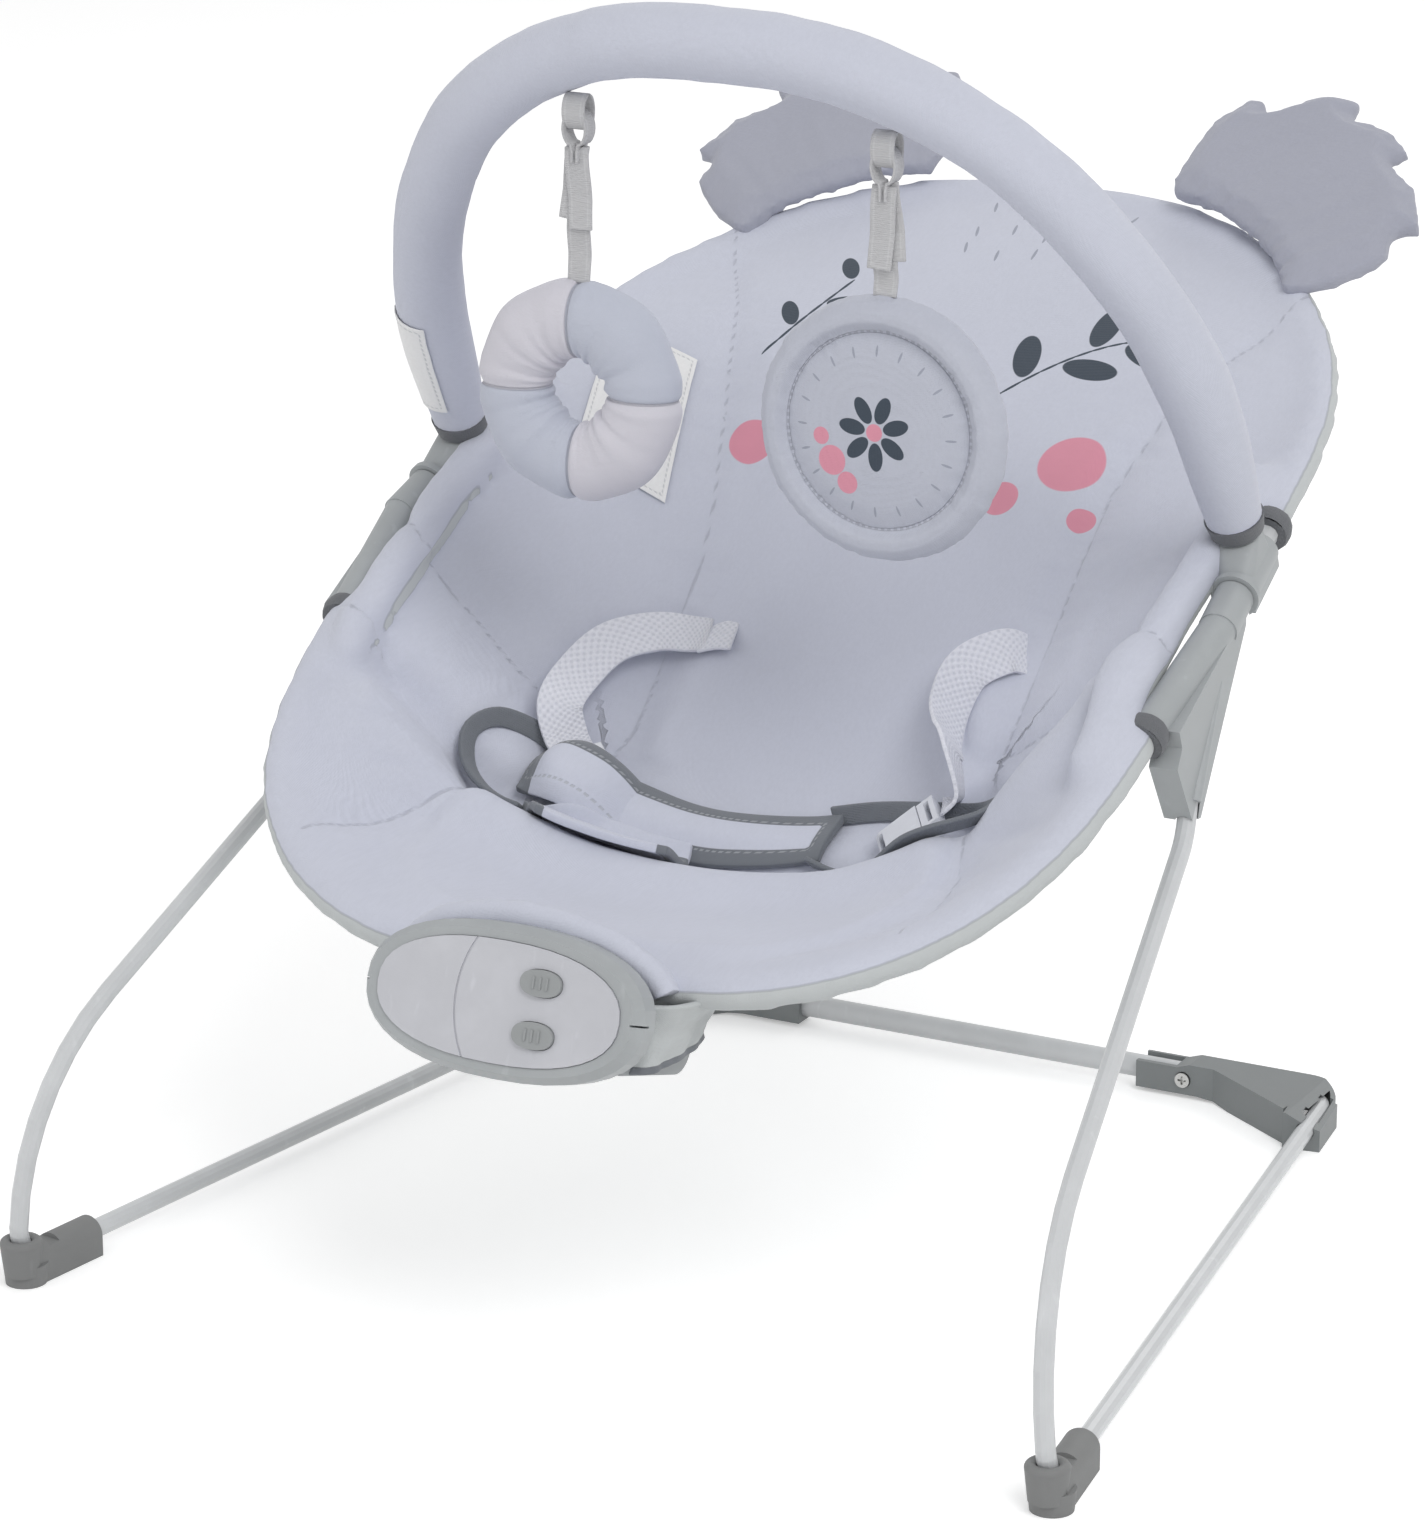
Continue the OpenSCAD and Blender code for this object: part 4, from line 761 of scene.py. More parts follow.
def padExtras(tree, base, height):
    split = partsOf(tree, attributeOf(tree, "plan", "Vector"))
    x, v, n = split
    dots = oneOf(tree, [motifDot(tree, x, v, centre, (size, size)) for centre, size in padPrint["berries"]])
    leaves = oneOf(tree, [sprigOf(tree, x, v, padPrint[key], padPrint[key + "Leaf"]) for key in ("stem", "sprig")])
    half = padPrint["dashHalf"]
    dashes = oneOf(tree, [motifDot(tree, x, v, centre, half, tilt) for centre, tilt in padPrint["dashes"]])
    top = spread(tree, n, -0.075, -0.070)
    base = mixColour(tree, times(tree, dots, top), base, colours["pink"])
    base = mixColour(tree, times(tree, leaves, top), base, colours["charcoal"])
    base = mixColour(tree, times(tree, dashes, 0.85), base, colours["dash"])
    seam = partsOf(tree, attributeOf(tree, "seam", "Vector"))
    line = spread(tree, seam[0], 0.0011, 0.0003)
    base = mixColour(tree, times(tree, line, 0.30), base, srgb(132, 134, 146))
    join = addNode(tree, "CombineXYZ")
    feed(tree, join.inputs[0], times(tree, seam[1], 150))
    feed(tree, join.inputs[1], times(tree, times(tree, seam[0], seam[2]), 22))
    gathers = noiseAt(tree, join.outputs[0], 1, 1, 0.5)
    close = spread(tree, seam[0], 0.024, 0.002)
    height = plus(tree, height, times(tree, times(tree, gathers, close), 0.0007))
    height = minus(tree, height, times(tree, line, 0.0003))
    # the back cloth and the rolled edge below the frame are neutral grey
    under = attributeOf(tree, "under")
    grey = spread(tree, under, 0.46, 0.54)
    piped = times(tree, spread(tree, under, 0.40, 0.47), spread(tree, under, 0.58, 0.52))
    base = mixColour(tree, grey, base, colours["padEdge"])
    base = mixColour(tree, times(tree, piped, 0.35), base, srgb(120, 124, 130))
    return base, height


def markUnder():
    # 0 on the lavender top, 1 on the grey back: the seam lies on the outer side of the frame tube
    mesh = seatCover.data
    points = coordsOf(mesh)
    lines = np.array([tuple(p) for run in coverRuns for p in run])
    outward = []
    for run in coverRuns:
        for k, point in enumerate(run):
            along = (run[min(k + 1, len(run) - 1)] - run[max(k - 1, 0)]).normalized()
            side = along.cross(squareUp).normalized()
            middle = Vector((0, point.y * 0.4 - 0.02, point.z))
            outward.append(side if side.dot(point - middle) > 0 else -side)
    outward = np.array([tuple(o) for o in outward])
    nearest = np.empty(len(points), int)
    for start in range(0, len(points), 4000):
        part = points[start:start + 4000]
        nearest[start:start + 4000] = ((part[:, None, :] - lines[None, :, :]) ** 2).sum(2).argmin(1)
    off = points - lines[nearest]
    high = off @ squareOut
    out = (off * outward[nearest]).sum(1)
    angle = np.arctan2(high + 0.001, np.maximum(out, -0.002) + 0.004)
    onTube = np.clip(0.5 - (angle - 0.55) * 1.2, 0, 1)
    facing = normalsOf(mesh) @ squareOut
    inner = np.clip(0.5 - facing * 2, 0, 1)
    weight = np.clip((out + 0.006) / 0.006, 0, 1)
    place = seatPlace(points)
    level = np.clip((np.abs(place[:, 1]) - 0.060) / 0.010, 0, 1)
    near = np.clip((0.020 - np.linalg.norm(off, axis=1)) / 0.004, 0, 1)
    weight = weight * level * near
    setAttribute(mesh, "under", onTube * weight + inner * (1 - weight))


markUnder()
padCloth = clothMaterial("padCloth", colours["padTop"], 1500, 0.00003, 0.0009, extra=padExtras)
seatCover.data.materials.append(padCloth)
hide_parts("seat_pad", "sleeve_front", "sleeve_back")
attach(seatCover, "seat")


# ---- ears ----
earLook = {"voxel": 0.003, "pressure": 5.0, "swell": 0.004, "corner": (0.017, 0.141), "root": 0.190, "tuck": 0.013}
earCloth = clothMaterial("earCloth", colours["ear"], 1500, 0.00003, 0.0009)


def makeEar(side):
    piece = pieceFrom("earFlap." + side, meshOf(shellOf("ear_" + side), "earFlap"))
    remeshed(piece, earLook["voxel"])
    inflate(piece, earLook["pressure"], earLook["swell"])
    subdivided(piece)
    mesh = piece.data
    points = coordsOf(mesh)
    place = seatPlace(points)
    middle = np.array([earLook["corner"][0] * (-1 if side == "left" else 1), earLook["corner"][1]])
    away = place[:, :2] - middle
    reach = np.linalg.norm(away, axis=1)
    slide = -earLook["tuck"] * np.clip((earLook["root"] - reach) / 0.030, 0, 1) / reach
    up = tuple(seatPoint(0, 1) - seatPoint(0, 0))
    move = np.outer(away[:, 0] * slide, (1, 0, 0)) + np.outer(away[:, 1] * slide, up)
    folds = np.array([noise.noise(Vector((math.atan2(a[1], a[0]) * 24, r * 18, 1.7))) for a, r in zip(away, reach)])
    fade = np.clip((0.215 - reach) / 0.05, 0, 1)
    setCoords(mesh, points + move + normalsOf(mesh) * (0.0012 * folds * fade)[:, None])
    piece.data.materials.append(earCloth)
    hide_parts("ear_" + side)
    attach(piece, "seat")


for side in ("left", "right"):
    makeEar(side)
print("ears made")

# ---- toy bar sleeve ----
barLook = {"base": (0.0045, 0.3165), "lean": 28.6, "corners": [(0.183, 0), (0.178, 0.102), (0.093, 0.223)],
           "bends": (0.220, 0.158, 0.158, 0.220), "radius": 0.0150, "endRadius": 0.0118}


def archPoint(x, h):
    lean = math.radians(barLook["lean"])
    return Vector((x, barLook["base"][0] - h * math.sin(lean), barLook["base"][1] + h * math.cos(lean)))


barCloth = clothMaterial("barCloth", colours["bar"], 1500, 0.00003, 0.0008)
hemCloth = clothMaterial("hemCloth", colours["hem"], 900, 0.00006, 0.0004, 0.75, 0.15)


def makeBarSleeve():
    half = [archPoint(x, h) for x, h in barLook["corners"]]
    path = half + [archPoint(-x, h) for x, h in reversed(barLook["corners"])]
    line = evenly(bentPath(path, barLook["bends"], 4), 0.003)
    count = len(line)
    full, narrow = barLook["radius"], barLook["endRadius"]
    radii = []
    for k in range(count):
        t = min(1, min(k, count - 1 - k) * 0.003 / 0.05)
        radii.append((narrow + (full - narrow) * math.sin(t * math.pi / 2)) / full)
    piece = pieceFrom("barSleeve", tubeMesh("barSleeve", line, full, radii, 10), barCloth)
    points = coordsOf(piece.data)
    pushOut(piece.data, noiseOver(points, 22) * 0.0009 + noiseOver(points * (90, 30, 30), 1) * 0.0004)
    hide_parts("toy_bar_sleeve")
    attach(piece, "toy_bar")
    return line, surfaceTree(piece)


barLine, barTree = makeBarSleeve()
finishNodes(["sleeve_hem_left", "sleeve_hem_right"], hemCloth)
print("toy bar sleeve made")

# ---- harness: waist straps, crotch panel and its loops ----
harnessLook = {
    "pull": (0.6892, 0.3697, 0.6232), "strapWide": 0.020, "strapThick": 0.0017, "binding": 0.0055,
    "baseWide": 0.0225, "baseThick": 0.0016,
    "left": [(0.057, 0.009, 0.0022), (0.065, 0.007, 0.0055), (0.078, 0.001, 0.0100), (0.091, -0.015, 0.0120),
             (0.0975, -0.036, 0.0150), (0.0975, -0.054, 0.0200)],
    "right": [(0.092, 0.020, -0.0030), (0.084, 0.015, 0.0050), (0.072, 0.001, 0.0090),
              (0.070, -0.016, 0.0110), (0.075, -0.032, 0.0140), (0.084, -0.046, 0.0190)],
    "buckle": (0.0755, -0.081), "overBuckle": 0.0215,
}

coverTree = surfaceTree(seatCover)


def onCover(x, v, up):
    # the place over the cushion's top at x and v
    hit = coverTree.ray_cast(seatPoint(x, v, 0.04), -squareUp)[0]
    return (hit or seatPoint(x, v, 0)) + squareUp * up


pad = nodes["seat_pad"]
padTree = BVHTree.FromPolygons([pad.matrix_world @ v.co for v in pad.data.vertices],
                               [tuple(f.vertices) for f in pad.data.polygons])


def overHarness(x, v, up):
    # over the cushion, and over the left buckle where that is higher
    place = onCover(x, v, up)
    far = math.hypot(x + harnessLook["buckle"][0], v - harnessLook["buckle"][1])
    rise = harnessLook["overBuckle"] * math.exp(-(far / 0.0215) ** 4)
    hit = padTree.ray_cast(seatPoint(x, v, 0.04), -squareUp)[0]
    if hit is None:
        return place
    high = hit + squareUp * (rise + up * 0.4)
    return high if (high - place).dot(squareUp) > 0 else place


def buildWebbing(tree, base, height):
    # coarse plaited rows that follow the strap, with painted shade in the low rows of the plait
    along, across, _ = stripOf(tree)
    plait = times(tree, wave(tree, along, 0.0030), wave(tree, across, 0.0036))
    fine = wave(tree, plus(tree, along, across), 0.0009)
    height = plus(tree, height, times(tree, plait, 0.00024))
    height = plus(tree, height, times(tree, fine, 0.00004))
    # painted shade: the plait's low rows are mixed towards a darker grey-lavender
    shade = spread(tree, plait, -1.0, 0.3)
    base = mixColour(tree, shade, mixColour(tree, 0.35, base, srgb(176, 179, 192)), base)
    return base, height


def boundEdge(tree, base, height):
    # a dark bound edge with a line of stitches inside it; the low edge is plain where the flap lies
    strip = stripOf(tree)
    reach, step = harnessLook["binding"], 0.0002
    plain = times(tree, spread(tree, strip[0], 0.0800, 0.0796), spread(tree, strip[1], 0.012, 0.0122))
    ends = spread(tree, strip[0], 2.2 * reach + step, 2.2 * reach - step)
    rim = minus(tree, spread(tree, strip[2], reach + step, reach - step), plain)
    bound = oneOf(tree, [rim, 0, ends])
    base = mixColour(tree, bound, base, colours["binding"])
    _, stitch = stitchesIn(tree, strip, 0.0040, 0.0030)
    base = mixColour(tree, times(tree, stitch, 0.6), base, srgb(176, 179, 184))
    height = plus(tree, height, times(tree, bound, 0.0003))
    return base, minus(tree, height, times(tree, stitch, 0.0002))


def flapEdge(tree, base, height):
    # bound only at its two ends
    along, across, _ = stripOf(tree)
    near = spread(tree, along, 0.0092, 0.0088)
    far = times(tree, spread(tree, along, 0.0682, 0.0686), spread(tree, across, 0.008, 0.0083))
    bound = oneOf(tree, [near, far])
    return mixColour(tree, bound, base, colours["binding"]), plus(tree, height, times(tree, bound, 0.0003))


webbing = clothMaterial("strapWebbing", colours["webbing"], 1500, 0.00002, 0.0002, 0.8, 0.2, buildWebbing)
panelCloth = clothMaterial("panelCloth", colours["padTop"], 1500, 0.00003, 0.0007, extra=boundEdge)
flapCloth = clothMaterial("flapCloth", colours["padTop"], 1500, 0.00003, 0.0007, extra=flapEdge)
bindingCloth = clothMaterial("bindingCloth", colours["binding"], 900, 0.00005, 0.0003, 0.7, 0.15)


def strapEnd(side):
    # middle and width of the strap's far end, where it goes round the plug's bar
    plug = [Vector(corner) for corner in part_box("buckle_plug_" + side)]
    middle = (plug[0] + plug[1]) / 2
    corners = {tuple(round(c, 5) for c in vertex.co) for vertex in nodes["waist_strap_" + side].data.vertices}
    nearest = sorted((Vector(c) for c in corners), key=lambda c: (c - middle).length)[:4]
    far = max(nearest, key=lambda c: (c - nearest[0]).length)
    return sum(nearest, Vector()) / 4, far - nearest[0]


def turnedAlong(centres, first, last):
    # widths carried along the line, with the turn to the last one shared out
    count = len(centres) - 1
    ways = [(centres[min(k + 1, count)] - centres[max(k - 1, 0)]).normalized() for k in range(count + 1)]
    carried = []
    side = first
    for way in ways:
        side = (side - way * side.dot(way)).normalized()
        carried.append(side)
    goal = (last - ways[-1] * last.dot(ways[-1])).normalized()
    angle = math.atan2(ways[-1].dot(side.cross(goal)), side.dot(goal))
    if abs(angle) > math.pi / 2:
        angle -= math.copysign(math.pi, angle)
    return [Matrix.Rotation(angle * k / count, 3, way) @ one for k, (way, one) in enumerate(zip(ways, carried))]


def makeStrap(side):
    sign = -1 if side == "left" else 1
    pull = Vector(harnessLook["pull"])
    pull.x *= sign
    end, across = strapEnd(side)
    if across.dot(upSlope) < 0:
        across = -across
    centres = [onCover(sign * x, v, up) for x, v, up in harnessLook[side]] + [end + pull * 0.0086, end]
    widths = turnedAlong(centres, upSlope, across)
    wide, thick = harnessLook["strapWide"], harnessLook["strapThick"]
    strap = ribbonPiece("waistStrap." + side, centres, widths, wide, thick, webbing, 0.002)
    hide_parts("waist_strap_" + side)
    tuple(centres[3])
    tuple(end)
    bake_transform(strap)
    if side == "right":
        return
    # the sewn base: a short second layer on the cushion
    start = harnessLook[side][0]
    base = [onCover(sign * start[0] + 0.015 * t - 0.003, start[1] + 0.003 * t, 0.0014) for t in (1, 0.67, 0.34, 0)]
    wide, thick = harnessLook["baseWide"], harnessLook["baseThick"]
    patch = ribbonPiece("strapBase." + side, base, [upSlope] * 4, wide, thick, webbing, 0.002)
    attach(patch, "seat")


for side in ("left", "right"):
    makeStrap(side)


def bandPiece(name, look, material):
    # a panel between two lines of (x, v, up), crowned a little in the middle
    upper, lower = [Vector(p) for p in look["top"]], [Vector(p) for p in look["low"]]

    def place(u, w):
        spot = curved(upper, u).lerp(curved(lower, u), w)
        crown = panelLook["crown"] * math.sin(math.pi * w) * math.sin(math.pi * min(1, u * 1.02))
        return overHarness(spot.x, spot.y, spot.z + crown)

    piece = sheetPiece(name, place, look["size"], (60, 18), panelLook["thick"], material, harnessLook["binding"])
    return piece


panelLook = {
    "thick": 0.0026, "crown": 0.0022,
    "back": {
        "size": (0.135, 0.024),
        "top": [(-0.097, -0.068, 0.004), (-0.080, -0.067, 0.004), (-0.056, -0.069, 0.004),
                (-0.030, -0.071, 0.0035), (-0.005, -0.069, 0.0035), (0.035, -0.062, 0.0035)],
        "low": [(-0.100, -0.096, 0.004), (-0.080, -0.100, 0.004), (-0.056, -0.100, 0.004),
                (-0.030, -0.099, 0.0035), (-0.005, -0.096, 0.0035), (0.033, -0.086, 0.0035)],
    },
    "flap": {
        "size": (0.074, 0.026),
        "top": [(-0.092, -0.105, 0.0070), (-0.076, -0.101, 0.0075), (-0.058, -0.096, 0.0078),
                (-0.040, -0.095, 0.0075), (-0.022, -0.094, 0.0075)],
        "low": [(-0.074, -0.122, 0.0060), (-0.064, -0.124, 0.0065), (-0.050, -0.124, 0.0070),
                (-0.034, -0.122, 0.0065), (-0.017, -0.119, 0.0065)],
    },
}
panel = bandPiece("crotchPanel", panelLook["back"], panelCloth)
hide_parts("crotch_panel")
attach(panel, "seat")
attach(bandPiece("crotchFlap", panelLook["flap"], flapCloth), "seat")

loopLook = {
    "wide": 0.0085, "thick": 0.0022, "rim": 0.003, "lean": 0.8,
    "left": [(-0.094, -0.066, 0.004), (-0.106, -0.066, 0.004), (-0.118, -0.072, 0.004),
             (-0.124, -0.085, 0.004), (-0.120, -0.098, 0.004), (-0.108, -0.106, 0.004), (-0.092, -0.108, 0.005)],
    "right": [(0.030, -0.062, 0.004), (0.052, -0.060, 0.004), (0.076, -0.061, 0.003),
              (0.101, -0.063, 0.003), (0.115, -0.072, 0.003), (0.112, -0.086, 0.004),
              (0.085, -0.095, 0.004), (0.058, -0.094, 0.004), (0.030, -0.088, 0.005)],
}
for side in ("left", "right"):
    centres = [overHarness(*p) for p in loopLook[side]]
    hub = sum(centres, Vector()) / len(centres)
    widths = [squareUp + (p - hub).normalized() * loopLook["lean"] for p in centres]
    wide, thick = loopLook["wide"], loopLook["thick"]
    loop = ribbonPiece("bindingLoop." + side, centres, widths, wide, thick, bindingCloth, loopLook["rim"])
    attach(loop, "seat")
print("harness made")


# ---- bound cover ends, blank sewn patches and the pouch behind the unit ----
hemLook = {"radius": 0.0098, "length": 0.008, "before": 0.002, "swell": [0.90, 0.97, 1.0, 1.02, 1.0, 0.93]}


def hemRing(name, start, onward):
    way = (onward - start).normalized()
    line = [start - way * hemLook["before"] + way * hemLook["length"] * k / 5 for k in range(6)]
    ring = pieceFrom(name, tubeMesh(name, line, hemLook["radius"], hemLook["swell"], 8), hemCloth)
    pushOut(ring.data, noiseOver(coordsOf(ring.data), 170) * 0.0007)
    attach(ring, "seat")


right, left, back = coverRuns
starts = [right[:2], left[:-3:-1], back[:2], back[:-3:-1]]
for k, (start, onward) in enumerate(starts):
    hemRing(f"coverHem.{k}", start, onward)

patchLook = {
    "corners": [(-0.145, 0.073), (-0.099, 0.062), (-0.161, 0.149), (-0.115, 0.138)], "lift": 0.0012, "thick": 0.0005,
    "barFrom": 0.013, "barLength": 0.050, "barTurn": 1.5, "barFacing": (-0.38, -0.93, 0),
}


def stitchedEdge(tree, base, height):
    # one line of stitches inside a plain sewn edge
    line, stitch = stitchesIn(tree, stripOf(tree), 0.0018, 0.0028)
    base = mixColour(tree, times(tree, stitch, 0.5), base, srgb(178, 180, 186))
    return base, minus(tree, height, times(tree, line, 0.00015))


patchCloth = clothMaterial("patchCloth", colours["patch"], 2400, 0.00002, 0.0002, 0.6, 0.1, stitchedEdge)


def spanOf(place, steps):
    return sum((place(*b) - place(*a)).length for a, b in zip(steps, steps[1:]))


def makePatch(name, place, body):
    long = spanOf(place, [(k / 12, 0.5) for k in range(13)])
    wide = spanOf(place, [(0.5, k / 12) for k in range(13)])
    patch = sheetPiece(name, place, (long, wide), (36, 24), patchLook["thick"], patchCloth)
    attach(patch, body)


def onBackPatch(u, w):
    low = Vector(patchLook["corners"][0]).lerp(Vector(patchLook["corners"][1]), w)
    high = Vector(patchLook["corners"][2]).lerp(Vector(patchLook["corners"][3]), w)
    spot = low.lerp(high, u)
    return onCover(spot.x, spot.y, patchLook["lift"])


def onBarPatch(u, w):
    reach = (patchLook["barFrom"] + patchLook["barLength"] * u) / 0.003
    k = int(reach)
    line = barLine[::-1]
    centre = line[k].lerp(line[k + 1], reach - k)
    way = (line[k + 2] - line[k]).normalized()
    facing = Vector(patchLook["barFacing"])
    facing = (facing - way * facing.dot(way)).normalized()
    turn = (w - 0.5) * patchLook["barTurn"]
    facing = facing * math.cos(turn) + way.cross(facing) * math.sin(turn)
    hit = barTree.ray_cast(centre + facing * 0.03, -facing)[0]
    return hit + facing * 0.0009


makePatch("backPatch", onBackPatch, "seat")
makePatch("barPatch", onBarPatch, "toy_bar")

pouchLook = {
    "top": [(0.050, -0.266), (0.065, -0.254), (0.072, -0.232), (0.062, -0.208), (0.030, -0.200)],
    "low": [(0.046, -0.270), (0.057, -0.262), (0.0585, -0.242), (0.055, -0.219), (0.030, -0.211)],
    "topHeight": (0.1685, 0.165), "lowHeight": 0.1415,
}


def onPouch(u, w):
    sides = []
    for key in ("top", "low"):
        half = [Vector((x, y, 0)) for x, y in pouchLook[key]]
        sides.append(half + [Vector((-p.x, p.y, 0)) for p in reversed(half)])
    top, low = curved(sides[0], u), curved(sides[1], u)
    front, back = pouchLook["topHeight"]
    top.z = front + (back - front) * math.sin(math.pi * u)
    low.z = pouchLook["lowHeight"]
    place = top.lerp(low, w)
    fold = noise.noise(Vector((u * 16, w * 2.2, 4.0))) * 0.0022 + noise.noise(Vector((u * 40, w * 5, 1.0))) * 0.0008
    out = Vector((place.x, place.y + 0.235, 0)).normalized()
    return place + out * (fold * min(1, 4 * w + 0.2) - 0.003 * math.sin(math.pi * w))


def pipedEdge(tree, base, height):
    # a dark piped edge along the bottom
    bound = spread(tree, stripOf(tree)[1], 0.0272, 0.0276)
    return mixColour(tree, bound, base, colours["binding"]), plus(tree, height, times(tree, bound, 0.0004))


gatherCloth = clothMaterial("gatherCloth", colours["padTop"], 1500, 0.00003, 0.0008)
gatherLook = {"across": 0.0595, "rise": 0.0280, "middle": 0.1650, "depth": -0.2545, "radius": 0.0066}


def makeGather():
    # the cover bunched over the unit's back, just behind its rim
    across, depth, middle, rise = (gatherLook[key] for key in ("across", "depth", "middle", "rise"))
    turns = [math.radians(164 - 5.2 * k) for k in range(30)]
    line = [Vector((across * math.cos(turn), depth, middle + rise * math.sin(turn))) for turn in turns]
    swell = [0.75 + 0.25 * math.sin(math.pi * k / 29) for k in range(30)]
    roll = pieceFrom("coverGather", tubeMesh("coverGather", line, gatherLook["radius"], swell, 8), gatherCloth)
    pushOut(roll.data, noiseOver(coordsOf(roll.data) * (95, 25, 25), 1) * 0.0014)
    # its back half slopes down into the cover
    points = coordsOf(roll.data)
    back = np.maximum(points[:, 1] - depth, 0)
    crown = np.clip((points[:, 2] - middle) / rise, 0, 1)
    points[:, 1] += 3.6 * back * crown
    points[:, 2] -= 2.8 * back * crown
    setCoords(roll.data, points)
    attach(roll, "seat")


makeGather()
pouchCloth = clothMaterial("pouchCloth", colours["padEdge"], 1500, 0.00004, 0.0009, extra=pipedEdge)
pouch = sheetPiece("unitPouch", onPouch, (0.30, 0.030), (110, 14), 0.0012, pouchCloth, 0.0022)
pouchLong = spanOf(onPouch, [(k / 60, 0.5) for k in range(61)])
pouchWide = sum(spanOf(onPouch, [(u, k / 12) for k in range(13)]) for u in (0.1, 0.3, 0.5, 0.7, 0.9)) / 5
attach(pouch, "seat")
print("hems, patches and pouch made")


# ---- hanging toys ----
toyLook = {
    "ringCentre": 0.0295, "ringAcross": 0.0168, "ringDeep": 0.0130,
    "discRadius": 0.0545, "discDeep": 0.0118, "innerSeam": 0.0405,
    "petals": 7, "petalAt": 0.0100, "petal": (0.0058, 0.0032),
    "marks": 20, "markAt": 0.0330, "mark": (0.0023, 0.0005),
    # the flower's middle, then the berries
    "dots": [((0, 0), 0.0036), ((-0.0190, -0.0135), 0.0062), ((-0.0120, -0.0220), 0.0046),
             ((-0.0240, -0.0040), 0.0036)],
}


def toyCentre(name):
    low, high = (Vector(c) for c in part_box(name))
    return (low + high) / 2


def spun(bm, name, steps, gap):
    # the outline in bm turned once round the toy's own axis
    outline = bm.verts[:] + bm.edges[:]
    bmesh.ops.spin(bm, geom=outline, cent=(0, 0, 0), axis=(0, 1, 0), dvec=(0, 0, 0), angle=math.tau, steps=steps,
                   use_merge=True)
    bmesh.ops.remove_doubles(bm, verts=bm.verts, dist=gap)
    bmesh.ops.recalc_face_normals(bm, faces=bm.faces)
    return pieceFrom(name, meshOf(bm, name))


def makeRingToy():
    # four panels sewn into a ring and gathered at the hole
    bm = bmesh.new()
    made = bmesh.ops.create_circle(bm, segments=28, radius=1)
    for vertex in made["verts"]:
        a, b = vertex.co.x, vertex.co.y
        vertex.co = (toyLook["ringCentre"] + a * toyLook["ringAcross"], b * toyLook["ringDeep"], 0)
    piece = spun(bm, "ringToy", 144, 1e-6)
    subdivided(piece)
    mesh = piece.data
    points = coordsOf(mesh)
    turn = np.arctan2(points[:, 2], points[:, 0])
    reach = np.hypot(points[:, 0], points[:, 2])
    quarter = (turn + math.tau) / (math.tau / 4)
    off = (quarter - np.round(quarter)) * (math.tau / 4)
    arm = np.stack([np.cos(turn), 0 * turn, np.sin(turn)], 1)
    hub = arm * toyLook["ringCentre"]
    pinch = np.exp(-np.abs(off) * reach / 0.0035)
    crown = 1 + 0.07 * np.cos(off * 4) ** 2 - 0.17 * pinch
    outer = np.clip((reach - 0.0125) / 0.034, 0, 1)
    gather = noiseOver(np.stack([np.cos(turn) * 7, np.sin(turn) * 7, 2.0 + reach * 14], 1), 1)
    lumps = noiseOver(points, 42)
    body = (points - hub) * crown[:, None]
    length = np.linalg.norm(body, axis=1, keepdims=True)
    body *= 1 + (0.10 * gather * (1 - outer) + 0.045 * lumps)[:, None]
    puckers = np.sin(off * reach / 0.0011) * np.exp(-np.abs(off) * reach / 0.007)
    body += body / length * (0.00025 * puckers)[:, None]
    setAttribute(mesh, "panel", (np.floor(quarter) % 2).astype(float))
    setAttribute(mesh, "seam", np.stack([np.abs(off) * reach, reach, np.sign(off)], 1))
    setCoords(mesh, hub + body + np.array(toyCentre("ring_toy")))

    def panels(tree, base, height):
        split = partsOf(tree, attributeOf(tree, "seam", "Vector"))
        pinkish = spread(tree, attributeOf(tree, "panel"), 0.45, 0.55)
        base = mixColour(tree, pinkish, colours["panelBlue"], colours["panelPink"])
        line = spread(tree, split[0], 0.0009, 0.0002)
        base = mixColour(tree, times(tree, line, 0.5), base, srgb(138, 140, 152))
        place = objectPlace(tree)
        folds = noiseAt(tree, place, 150, 2, 0.5, (1, 0.3, 1))
        near = spread(tree, split[1], 0.030, 0.012)
        height = plus(tree, height, times(tree, times(tree, folds, near), 0.0016))
        return base, minus(tree, height, times(tree, line, 0.0005))

    mesh.materials.append(clothMaterial("ringToyCloth", colours["panelPink"], 1500, 0.00003, 0.0007, extra=panels))
    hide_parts("ring_toy")
    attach(piece, "ring_toy")


